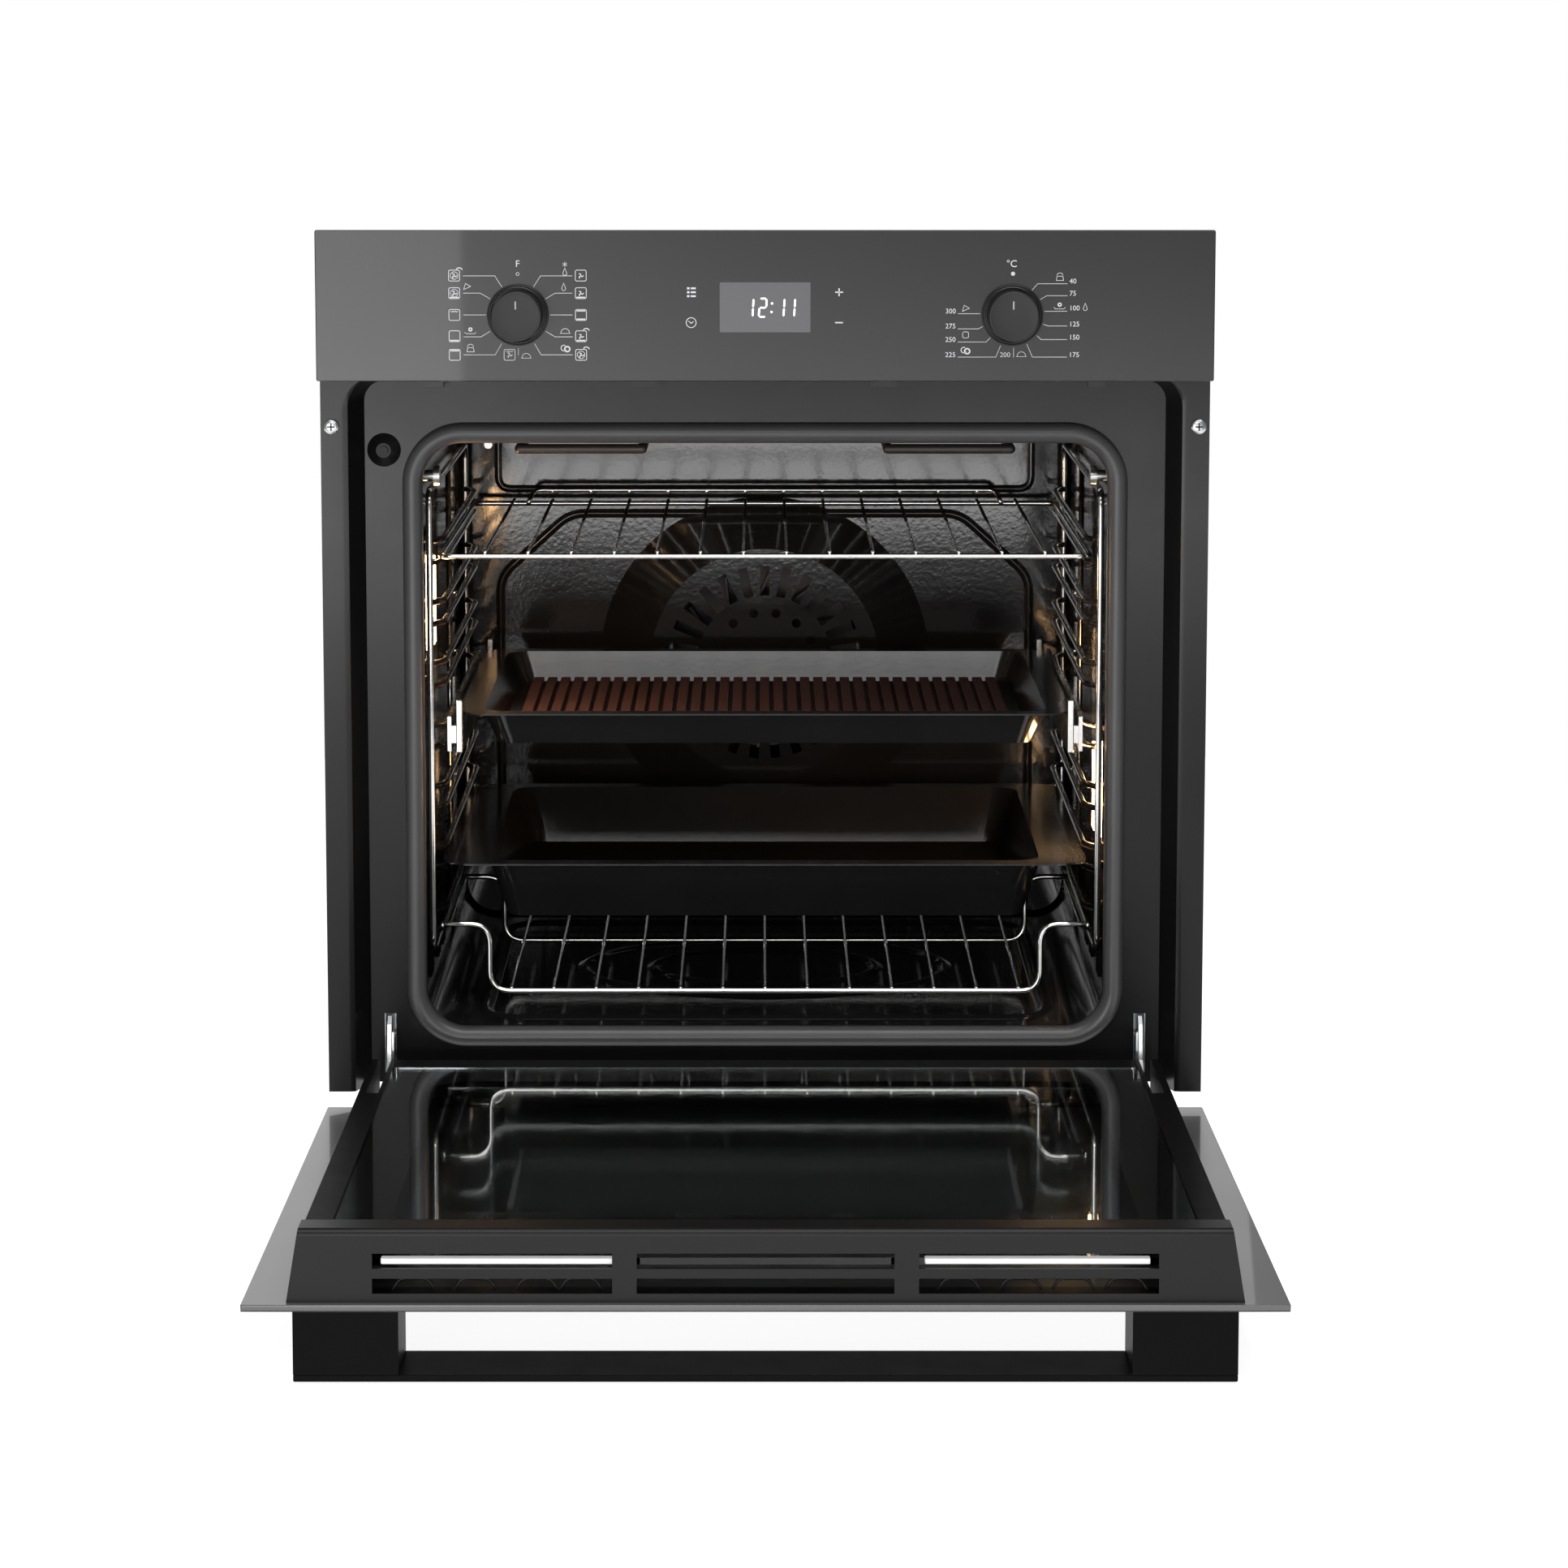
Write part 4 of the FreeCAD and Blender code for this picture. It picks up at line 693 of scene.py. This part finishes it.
def lettering(text, x, z, height, y, align="CENTER"):
    """Characters as a thin solid standing on the plane y, centred on z."""
    curve = bpy.data.curves.new("text", "FONT")
    curve.body = text
    curve.align_x = align
    curve.align_y = "CENTER"
    curve.size = height * 1.42
    curve.extrude = 0.00003
    curve.resolution_u = 3
    holder = bpy.data.objects.new("text", curve)
    mesh = bpy.data.meshes.new_from_object(holder)
    flat = np.empty(len(mesh.vertices) * 3)
    mesh.vertices.foreach_get("co", flat)
    flat = flat.reshape(-1, 3)
    points = np.stack([x + flat[:, 0], y - 0.00003 - flat[:, 2], z + flat[:, 1]], 1)
    faces = [list(f.vertices) for f in mesh.polygons]
    bpy.data.objects.remove(holder)
    bpy.data.meshes.remove(mesh)
    return points, faces


# ---- control panel ---------------------------------------------------------------------
PRINT_Y = FRONT_Y - 0.00006
KNOB_Z = 0.527
KNOB_X = 0.1635
LINE = 0.00033           # width of a printed line
DIGIT_T = 0.00004        # the lit digits stand this far off the window


def fascia():
    """Control glass with a rolled edge, and the lighter display window in it."""
    points, faces = slab_parts(PANEL_LO.x, PANEL_HI.x, PANEL_LO.z, PANEL_HI.z, 0.0014, PANEL_LO.y,
                               PANEL_HI.y, 0.0006)
    flat_ended(piece("fascia_glass", points, faces, PANEL_GLASS, "body",
                     replaces=("control_panel",)))
    points, faces = slab_parts(-0.030, 0.030, 0.5155, 0.5485, 0.0006, PRINT_Y, FRONT_Y, 0.00002, 1)
    recalculated(piece("display_face", points, faces, WINDOW, "body", smooth=False))


def mark(parts, path, x, z, closed=False, width=LINE):
    """Add one printed line, given in millimetres about a point."""
    p = np.asarray(path, float) * MM + (x, z)
    parts.append(ribbon(p, width, PRINT_Y, FRONT_Y, closed))


def arc(cx, cz, r, start, end, steps=10):
    """Points in millimetres along an arc given in degrees."""
    a = np.radians(np.linspace(start, end, steps))
    return np.stack([cx + r * np.cos(a), cz + r * np.sin(a)], 1)


def ring_mark(parts, cx, cz, r, x, z, width=LINE):
    """Printed circle."""
    mark(parts, arc(cx, cz, r, 0, 360, 17)[:-1], x, z, True, width)


def oven_symbol(parts, cx, cz, x, z, bars, inside):
    """Heating-mode symbol: a rounded square with top or bottom bars, and a fan, ring, grill or steam."""
    h = 3.6
    square = outline(cx - h, cx + h, cz - h, cz + h, 1.0, 0, 4)
    mark(parts, square, x, z, True, 0.00042)
    if "t" in bars:
        mark(parts, [(cx - 2.9, cz + 2.7), (cx + 2.9, cz + 2.7)], x, z, False, 0.0008)
    if "b" in bars:
        mark(parts, [(cx - 2.9, cz - 2.8), (cx + 2.9, cz - 2.8)], x, z, False, 0.0008)
    if "grill" in inside:
        zig = [(cx - 2.4 + 0.8 * i, cz + 2.7 - 0.9 * (i % 2)) for i in range(7)]
        mark(parts, zig, x, z)
    if "fan" in inside:
        for turn in (90, 210, 330):
            a = math.radians(turn)
            bend = math.radians(turn + 38)
            root = (cx + 1.1 * math.cos(a), cz - 0.2 + 1.1 * math.sin(a))
            tip = (cx + 1.9 * math.cos(bend), cz - 0.2 + 1.9 * math.sin(bend))
            mark(parts, [(cx, cz - 0.2), root, tip], x, z, False, 0.0006)
    if "ring" in inside:
        ring_mark(parts, cx, cz, 2.5, x, z)
    if "steam" in inside:
        mark(parts, arc(cx + 3.4, cz + 3.0, 2.2, 150, 20, 8), x, z, False, 0.0006)


def food_symbol(parts, kind, cx, cz, x, z):
    """Small generic dish symbols: star, drop, dome, plate, slice and pot."""
    if "star" in kind:
        for turn in (0, 60, 120):
            a = math.radians(turn + 90)
            d = np.array([math.cos(a), math.sin(a)]) * 1.7
            mark(parts, [np.array([cx, cz]) - d, np.array([cx, cz]) + d], x, z)
    if "drop" in kind:
        shape = np.concatenate([[(cx - 1.2, cz - 1.8 + 3.2)], arc(cx - 1.2, cz - 2.2, 1.3, 30, -210, 9)])
        mark(parts, shape, x, z, True)
    if "dome" in kind:
        foot = [(cx - 3.2, cz - 1.6), (cx + 3.2, cz - 1.6)]
        mark(parts, np.concatenate([arc(cx, cz - 1.2, 2.8, 0, 180, 10), foot]), x, z, True)
    if "plate" in kind:
        mark(parts, [(cx - 3.8, cz - 0.6), (cx - 2.8, cz - 1.6), (cx + 2.8, cz - 1.6),
                     (cx + 3.8, cz - 0.6)], x, z)
        ring_mark(parts, cx, cz + 1.2, 1.0, x, z, 0.0008)
    if "slice" in kind:
        mark(parts, [(cx - 2.2, cz - 2.0), (cx - 1.0, cz + 2.0), (cx + 2.4, cz)], x, z, True)
    if "pot" in kind:
        mark(parts, [(cx - 2.4, cz - 1.8), (cx - 1.9, cz + 1.0), (cx + 1.9, cz + 1.0),
                     (cx + 2.4, cz - 1.8)], x, z, True)
        mark(parts, arc(cx, cz + 1.0, 2.2, 160, 20, 8), x, z)
    if "roast" in kind:
        mark(parts, arc(cx - 0.9, cz + 0.3, 1.9, 60, 330, 12), x, z, False, 0.0005)
        ring_mark(parts, cx + 1.3, cz - 0.4, 1.7, x, z, 0.0009)


def panel_print():
    """Everything printed on the fascia: symbols, leader lines, dial numbers and touch keys."""
    parts = []
    x, z = -KNOB_X, KNOB_Z
    left_lines = ([(-36.1, 25.8), (-15.1, 25.8), (-10.4, 18.4)],
                  [(-36.1, 14.4), (-24.7, 14.4), (-18.2, 10.6)],
                  [(-36.1, 0), (-21.2, 0)],
                  [(-36.1, -14.5), (-24.5, -14.5), (-18.4, -10.8)],
                  [(-36.1, -26.4), (-15.2, -26.4), (-10.8, -18.9)])
    for line in left_lines:
        mark(parts, line, x, z)
        mark(parts, np.array(line) * (-1, 1), x, z)
    mark(parts, [(0.2, -22), (0.2, -26.6)], x, z)
    modes = ((-42, 26, "", "fan ring steam"), (-42, 14.4, "b", "fan ring"), (-42, 0, "", "grill"),
             (-42, -14.1, "b", ""), (-42, -26.4, "t", ""), (41.7, 26, "", "fan"), (41.7, 14.4, "b", "fan"),
             (41.7, 0, "tb", ""), (41.7, -14.1, "b", "fan steam"), (41.7, -26.4, "", "fan ring steam"),
             (-5.7, -26.4, "", "fan grill"))
    for cx, cz, bars, inside in modes:
        oven_symbol(parts, cx, cz, x, z, bars, inside)
    for kind, cx, cz in (("slice", -33.5, 18.8), ("plate", -31.5, -10.8), ("pot", -31.5, -22.6),
                         ("star", 31.2, 33.4), ("drop", 32.4, 29.6), ("drop", 31.6, 19.6),
                         ("dome", 31.2, -10.6), ("roast", 31.2, -22.2), ("dome", 5.4, -27.0)):
        food_symbol(parts, kind, cx, cz, x, z)
    ring_mark(parts, 0, 27.0, 1.0, x, z)
    parts.append(lettering("F", x, z + 33.6 * MM, 4.4 * MM, PRINT_Y))
    x = KNOB_X
    dial_lines = ([(36.3, 20.6), (16.6, 20.6), (12.9, 16.3)], [(36.3, 12.7), (22.6, 12.7), (18.3, 10.1)],
                  [(36.3, 2.5), (21.2, 2.4)], [(36.3, -7.3), (23.9, -7.3), (20.4, -6.1)],
                  [(36.3, -16.3), (19.2, -16.3), (16.4, -13.7)],
                  [(36.3, -27.9), (13.5, -27.9), (9.7, -19.2)],
                  [(-35.9, 0.8), (-21.2, 0.8)], [(-35.9, -9.2), (-22.4, -9.2), (-19.3, -7.5)],
                  [(-35.9, -17.9), (-17.2, -17.9), (-14.4, -15.0)],
                  [(-35.9, -27.9), (-10.7, -27.9), (-7.6, -20.3)], [(1.0, -21.6), (1.0, -28.2)])
    for line in dial_lines:
        mark(parts, line, x, z)
    for text, dz in (("40", 22.2), ("75", 14.1), ("100", 4.4), ("125", -6.2), ("150", -14.9), ("175", -26.5)):
        parts.append(lettering(text, x + 37.6 * MM, z + dz * MM, 3.3 * MM, PRINT_Y, "LEFT"))
    for text, dz in (("300", 2.4), ("275", -7.5), ("250", -16.4), ("225", -26.5)):
        parts.append(lettering(text, x - 37.3 * MM, z + dz * MM, 3.3 * MM, PRINT_Y, "RIGHT"))
    parts.append(lettering("200", x - 4.6 * MM, z - 26.5 * MM, 3.3 * MM, PRINT_Y))
    parts.append(lettering("\u00b0C", x - 0.6 * MM, z + 33.6 * MM, 4.6 * MM, PRINT_Y))
    for kind, cx, cz in (("pot", 31.3, 24.6), ("plate", 31.3, 5.6), ("drop", 49.4, 6.4),
                         ("slice", -30.8, 4.4), ("roast", -31.0, -23.6), ("dome", 6.2, -26.0)):
        food_symbol(parts, kind, cx, cz, x, z)
    mark(parts, outline(-32.8, -28.8, -15.2, -11.2, 1.0, 0, 3), x, z, True)
    ring_mark(parts, 0.3, 27.2, 0.75, x, z, 0.0012)
    top = PANEL_TOP / MM
    for i in range(3):
        zi = top - 38.4 - 2.6 * i
        mark(parts, [(-51.6, zi), (-50.0, zi)], 0, 0, False, 0.0014)
        mark(parts, [(-49.2, zi), (-45.8, zi)], 0, 0, False, 0.0012)
    ring_mark(parts, -48.9, top - 61.1, 3.3, 0, 0, 0.0005)
    mark(parts, [(-50.6, top - 60.0), (-48.9, top - 61.6), (-47.3, top - 60.4)], 0, 0, False, 0.0005)
    for zc, upright in ((top - 41, True), (top - 61.1, False)):
        mark(parts, [(46.3, zc), (51.5, zc)], 0, 0, False, 0.0009)
        if upright:
            mark(parts, [(48.9, zc - 2.6), (48.9, zc + 2.6)], 0, 0, False, 0.0009)
    points, faces = joined(parts)
    recalculated(piece("panel_print", points, faces, WHITE_PRINT, "body", smooth=False))


def clock_digits():
    """Lit digits: each bar of a digit is a thin lozenge with pointed ends."""
    bars = {"a": ((0, 2), (1, 2)), "b": ((1, 2), (1, 1)), "c": ((1, 1), (1, 0)), "d": ((0, 0), (1, 0)),
            "e": ((0, 1), (0, 0)), "g": ((0, 1), (1, 1))}
    shown = ((-12.9, "bc"), (-4.2, "abged"), (7.6, "bc"), (14.6, "bc"))
    w, h, thick, slant = 4.6, 6.0, 1.15, 0.35
    depths = (PRINT_Y - DIGIT_T, PRINT_Y)
    parts = []
    z0 = PANEL_TOP / MM - 57.2
    for left, lit in shown:
        for bar in lit:
            (ax, az), (bx, bz) = bars[bar]
            a = np.array([left + ax * w + az * slant, z0 + az * h])
            b = np.array([left + bx * w + bz * slant, z0 + bz * h])
            along = (b - a) / np.linalg.norm(b - a)
            side = np.array([-along[1], along[0]]) * thick / 2
            tip = along * thick * 0.55
            start, end = a + along * 0.25, b - along * 0.25
            loop = np.array([start, start + tip + side, end - tip + side, end, end - tip - side,
                             start + tip - side])
            parts.append(stacked(at_depths(loop * MM, *depths)))
    for dz in (3.2, 8.8):
        c = np.array([4.1 + dz * 0.05, z0 + dz])
        loop = (c + arc(0, 0, 0.75, 0, 360, 9)[:-1]) * MM
        parts.append(stacked(at_depths(loop, *depths)))
    points, faces = joined(parts)
    recalculated(piece("clock_digits", points, faces, DIGIT_GLOW, "body", smooth=False))


def knob(node, body, x):
    """Knob: a dished face in a rolled rim, a waisted side and a foot, with a short pointer line let in."""
    tip, foot = low(node).y, FRONT_Y - 0.0006
    r = 17.0 * MM
    dished = [(0.0004, 0.00045), (r * 0.5, 0.0004), (r * 0.84, 0.00025), (r * 0.89, 0.0001)]
    rim = [(r * 0.92, 0), (r * 0.955, 0.0002), (r * 0.975, 0.0007), (r * 0.98, 0.0016)]
    waist = [(r * 0.965, 0.004), (r * 0.955, 0.010)]
    flare = [(r * 0.97, -0.003), (r * 0.99, -0.001), (r * 0.985, 0), (r * 0.2, 0)]
    profile = [(a, tip + y) for a, y in dished + rim + waist] + [(a, foot + y) for a, y in flare]
    points, faces = turned(profile, x, KNOB_Z, 72)
    recalculated(piece(node + "_turned", points, faces, KNOB_COAT, body, replaces=(node,)))
    points, faces = slab_parts(x - 0.0009, x + 0.0001, KNOB_Z + 0.0048, KNOB_Z + 0.0102, 0.0004,
                               tip + 0.0002, tip + 0.0006, 0.00005, 1)
    recalculated(piece(node + "_pointer", points, faces, POINTER, body, smooth=False))


def bezels():
    """Rubbery rings around the knobs: a rolled outer lip, a groove and a thin bright inner edge."""
    tall = FRONT_Y - low("knob_bezels").y
    profile = [(17.6, 0.1), (17.7, 0.75), (18.0, 0.95), (18.5, 0.9), (18.8, 0.7), (19.2, 0.8), (19.7, 0.95),
               (20.1, 0.85), (20.35, 0.55), (20.4, 0.1), (20.38, 0.0), (17.6, 0.0)]
    rows = [(r * MM, FRONT_Y - h * tall) for r, h in profile]
    parts = []
    for x in (-KNOB_X, KNOB_X):
        points, faces = turned(rows, x, KNOB_Z, 72)
        parts.append((points, faces[:-2] + grid_wrap(len(rows), 72)))
    points, faces = joined(parts)
    recalculated(piece("knob_rings", points, faces, RUBBER_AND_SLOT_SHADE, "body",
                       replaces=("knob_bezels",)))


def grid_wrap(rows, sides):
    """Faces that join the last row of a turned grid to its first row."""
    j = np.arange(sides)
    k = (j + 1) % sides
    end = (rows - 1) * sides
    return np.stack([end + j, end + k, k, j], 1).tolist()


fascia()
panel_print()
clock_digits()
knob("function_knob", "function_knob_body", -KNOB_X)
knob("temperature_knob", "temperature_knob_body", KNOB_X)
bezels()


# ---- door ------------------------------------------------------------------------------
PANE_IN = FRONT_Y + 38 * MM
CAP_FRONT_Y = FRONT_Y + 4 * MM


def band_parts(outer, inner, y0, y1):
    """Flat frame between two outlines with equal numbers of points, with a thickness along Y."""
    loops = at_depths(outer, y0, y1) + at_depths(inner, y1, y0)
    return np.concatenate(loops), grid_faces(4, len(outer), True, True)


def outer_pane():
    """Front glass of the door: a plate with rolled edges, with a darker skin on its outer face."""
    skin = 0.4 * MM
    for name, y0, y1, edge, finish, cad in (
            ("door_front_pane", FRONT_Y + skin, FRONT_Y + 4 * MM, 0.0006, DOOR_GLASS, ("door_outer_glass",)),
            ("door_front_skin", FRONT_Y, FRONT_Y + skin, 0.0002, PANEL_GLASS, ())):
        points, faces = slab_parts(-0.2975, 0.2975, -0.011, 0.479, 0.0014, y0, y1, edge)
        flat_ended(piece(name, opened(points), faces, finish, "door", replaces=cad))


def pane_border():
    """Black border under the inner pane, and rows of dots that shrink away from its cap side."""
    y0 = PANE_IN - 4.3 * MM
    y1 = y0 + 0.2 * MM
    outer = outline(-0.2494, 0.2494, 0.0190, 0.4476, 0.0035, 0, 10)
    inner = outline(-0.2170, 0.2170, 0.0560, 0.4250, 0.0220, 0, 10)
    points, faces = band_parts(outer, inner, y0, y1)
    recalculated(piece("pane_border", opened(points), faces, BLACK_PRINT, "door",
                       smooth=False))
    parts = []
    rows, count, pitch, row_pitch = 5, 104, 4.0 * MM, 2.6 * MM
    circle = arc(0, 0, 1.0, 0, 360, 9)[:-1]
    for row in range(rows):
        size = (1.25 - 0.2 * row) * MM
        z = 0.4228 - row_pitch * row
        for i in range(count):
            x = (i - (count - 1) / 2 + 0.5 * (row % 2)) * pitch
            parts.append(stacked(at_depths(np.array([x, z]) + size * circle, y0, y1)))
    points, faces = joined(parts)
    recalculated(piece("pane_dots", opened(points), faces, BLACK_PRINT, "door",
                       smooth=False))


def cap_rail():
    """Rail seen through the cap's upper slots, made to glow as painted light though it is no lamp, and the
    ribs behind its lower ones.
    """
    parts = []
    for x0, x1 in ((-0.2185, -0.0865), (0.0905, 0.2185)):
        parts.append(slab_parts(x0, x1, 0.4625, 0.4690, 0.001, CAP_FRONT_Y + 0.0210,
                                CAP_FRONT_Y + 0.0242, 0.0004))
    points, faces = joined(parts)
    # the rail glows by emission: painted light, not a lamp
    recalculated(piece("cap_rail", opened(points), faces, RAIL_GLOW_PAINTED, "door"))
    parts = []
    y0, y1, z = CAP_FRONT_Y + 0.0055, CAP_FRONT_Y + 0.0120, 0.466
    for x in (-0.2, -0.165, -0.13, -0.105, 0.11, 0.145, 0.175, 0.205):
        path = rounded([(x - 0.012, y0, z), (x - 0.008, y1, z), (x + 0.008, y1, z), (x + 0.012, y0, z)],
                       0.005, 6)
        parts.append(tube_parts(path, 0.0009, 8))
    points, faces = joined(parts)
    piece("cap_ribs", opened(points), faces, PLASTIC, "door")


outer_pane()
pane_border()
cap_rail()


# ---- pressed relief in the cavity ------------------------------------------------------
def bead_parts(path, normal, width, height, closed=False):
    """Pressed bead along a path on a wall: across it the height is (1 + cos(pi s)) / 2 for s from -1 to 1."""
    p = np.asarray(path, float)
    ahead = np.roll(p, -1, 0) - np.roll(p, 1, 0)
    if not closed:
        ahead[0], ahead[-1] = p[1] - p[0], p[-1] - p[-2]
    ahead /= np.linalg.norm(ahead, axis=1, keepdims=True)
    n = np.asarray(normal, float)
    side = np.cross(ahead, n)
    s = np.linspace(-1, 1, 11)
    rise = (1 + np.cos(np.pi * s)) / 2 * height
    s, rise = np.append(s, (1, -1)), np.append(rise, (-0.0006, -0.0006))
    points = p[:, None] + side[:, None] * s[None, :, None] * width / 2 + n * rise[None, :, None]
    faces = grid_faces(len(p), len(s), closed, True)
    if not closed:
        last = (len(p) - 1) * len(s)
        faces += [list(range(len(s))), [last + i for i in range(len(s))][::-1]]
    return points.reshape(-1, 3), faces


def cavity_relief():
    """Beads of the walls: a chamfered field on the rear panel, nested arches on the sides, rings below."""
    rear, floor, front = FAN_PANEL_FRONT, CAVITY_FLOOR, PLATE_Y
    field = [(0.204, 0.050), (0.204, 0.298), (0.150, 0.347)]
    field = [(-x, z) for x, z in field[:1]] + field + [(-x, z) for x, z in field[:0:-1]]
    field = rounded([(x, rear, z) for x, z in field], 0.012, 6, True)
    top = [(-0.205, 0.366), (0.205, 0.366), (0.205, 0.418), (-0.205, 0.418)]
    top = rounded([(x, rear, z) for x, z in top], 0.010, 6, True)
    parts = [bead_parts(field, (0, -1, 0), 0.007, 0.0012, True),
             bead_parts(top, (0, -1, 0), 0.006, 0.0010, True)]
    for side in (-1, 1):
        wall, inward = side * CAVITY_X, (-side, 0, 0)
        for i in range(3):
            y = front + 0.085 + 0.108 * i
            for half, z_top in ((0.040, 0.128), (0.026, 0.108)):
                path = rounded([(wall, y - half, 0.060), (wall, y - half, z_top), (wall, y + half, z_top),
                                (wall, y + half, 0.060)], half * 0.9, 12)
                parts.append(bead_parts(path, inward, 0.007, 0.0022))
        y0, y1 = LAMP_Y - 0.034, LAMP_Y + 0.034
        z0, z1 = LAMP_Z[side] - 0.052, LAMP_Z[side] + 0.052
        surround = rounded([(wall, y0, z0), (wall, y1, z0), (wall, y1, z1), (wall, y0, z1)], 0.012, 6, True)
        parts.append(bead_parts(surround, inward, 0.007, 0.0016, True))
    turn = np.linspace(0, 2 * np.pi, 72, endpoint=False)
    for radius in (0.060, 0.098):
        ring = np.stack([radius * 1.35 * np.cos(turn), front + 0.20 + radius * np.sin(turn),
                         0 * turn + floor], 1)
        parts.append(bead_parts(ring, (0, 0, 1), 0.011, 0.0024, True))
    border = [(-0.196, front + 0.035), (0.196, front + 0.035), (0.196, front + 0.36), (-0.196, front + 0.36)]
    border = rounded([(x, y, floor) for x, y in border], 0.03, 8, True)
    parts.append(bead_parts(border, (0, 0, 1), 0.011, 0.0024, True))
    points, faces = joined(parts)
    recalculated(piece("cavity_relief", points, faces, ENAMEL, "body"))


def cabinet_screw_heads():
    """Cross-slotted pan-head screws: a turned head on its shank, with a black cross on it as painted shade
    for the shaded recess of each slot.
    """
    lo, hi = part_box("cabinet_screws")
    y, z, r = lo.y, (lo.z + hi.z) / 2, (hi.z - lo.z) / 2
    head = [(0.0002, 0.00012), (r * 0.45, 0.00015), (r * 0.8, 0.0005), (r * 0.98, 0.0012), (r, 0.0018),
            (r * 0.97, 0.0022), (0.0019, 0.0024)]
    profile = [(a, y + depth) for a, depth in head] + [(0.0019, hi.y - 0.003), (0.0003, hi.y)]
    heads, cross_shades = [], []
    for x in (lo.x + r, hi.x - r):
        heads.append(turned(profile, x, z, 40))
        # black crosses on the heads: painted shade standing in for the shaded recess of each slot
        for w, h in ((0.00055, 0.0026), (0.0026, 0.00055)):
            cross_shades.append(slab_parts(x - w, x + w, z - h, z + h, 0.0002, y + 0.00002, y + 0.0009,
                                      0.00005, 1))
    points, faces = joined(heads)
    recalculated(piece("screw_heads", points, faces, ZINC, "body",
                       replaces=("cabinet_screws",)))
    points, faces = joined(cross_shades)
    recalculated(piece("screw_cross_shades", points, faces, RUBBER_AND_SLOT_SHADE, "body", smooth=False))


cavity_relief()
cabinet_screw_heads()


# ---- stage -----------------------------------------------------------------------------
def softbox(name, energy, place, aim, size):
    """A rectangular light that looks at a point."""
    data = bpy.data.lights.new(name, "AREA")
    data.energy = energy
    data.shape = "RECTANGLE"
    data.size, data.size_y = size
    made = bpy.data.objects.new(name, data)
    bpy.context.scene.collection.objects.link(made)
    made.location = place
    made.rotation_euler = (Vector(aim) - Vector(place)).to_track_quat("-Z", "Y").to_euler()


def cavity_lamp(side):
    """Warm light of one side lamp, which the walls don't mirror."""
    data = bpy.data.lights.new("cavity_lamp", "POINT")
    data.energy = 0.9
    data.color = (1.0, 0.56, 0.24)
    data.shadow_soft_size = 0.008
    made = bpy.data.objects.new("cavity_lamp", data)
    bpy.context.scene.collection.objects.link(made)
    made.location = (side * 0.212, LAMP_Y, LAMP_Z[side])
    made.visible_glossy = False


def stage():
    """Pale floor, soft lights and an even pale world that is dimmer as a light than it looks."""
    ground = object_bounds()[0][2] - 0.0005
    radius, sides = 1.7, 96
    a = np.linspace(0, 2 * np.pi, sides, endpoint=False)
    ring = np.stack([radius * np.cos(a), radius * np.sin(a) - 0.25, np.full(sides, ground)], 1)
    mesh = bpy.data.meshes.new("floor")
    mesh.from_pydata([tuple(p) for p in ring], [], [list(range(sides))])
    floor = bpy.data.objects.new("floor", mesh)
    bpy.context.scene.collection.objects.link(floor)
    paint = Finish("floor_paint", (0.55, 0.55, 0.55), 0.9)
    paint.set("Emission Color", (1, 1, 1, 1))
    paint.set("Emission Strength", 0.9)
    mesh.materials.append(paint.mat)
    floor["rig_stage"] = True
    world = bpy.data.worlds.new("studio")
    bpy.context.scene.world = world
    world.use_nodes = True
    tree = world.node_tree
    back = tree.nodes["Background"]
    back.inputs[0].default_value = (1, 1, 1, 1)
    path = tree.nodes.new("ShaderNodeLightPath")
    level = tree.nodes.new("ShaderNodeMapRange")
    level.inputs["To Min"].default_value = 0.2
    level.inputs["To Max"].default_value = 1.0
    tree.links.new(path.outputs["Is Camera Ray"], level.inputs["Value"])
    tree.links.new(level.outputs[0], back.inputs[1])
    softbox("left_softbox", 21, (-1.30, -3.8, 0.38), (-0.9, 0.0, 0.35), (1.7, 1.3))
    softbox("low_card", 9, (-0.1, -2.62, 0.15), (-0.05, 0.0, 0.25), (1.9, 0.24))
    softbox("rear_card", 12, (-0.75, 2.6, 0.9), (0.0, -0.6, 0.0), (3.0, 1.6))
    softbox("front_softbox", 11, (0.0, -3.3, 1.75), (0.0, 0.0, 0.25), (1.6, 0.5))
    softbox("top_softbox", 38, (0.2, -1.3, 2.4), (0, -0.5, 0), (2.2, 1.4))
    for side in (-1, 1):
        cavity_lamp(side)
    bpy.context.scene.view_settings.view_transform = "Standard"


def camera():
    """Camera in front of the oven, a little above it, with a long lens."""
    data = bpy.data.cameras.new("camera")
    data.sensor_width = 36.0
    data.lens = 97.6
    data.shift_x = 0.0138
    data.shift_y = -0.12
    data.clip_end = 100.0
    made = bpy.data.objects.new("camera", data)
    bpy.context.scene.collection.objects.link(made)
    made.location = (-0.0018, -3.107, 0.6990)
    made.rotation_euler = (math.radians(90 - 7.28), 0, 0)
    bpy.context.scene.camera = made


stage()
camera()
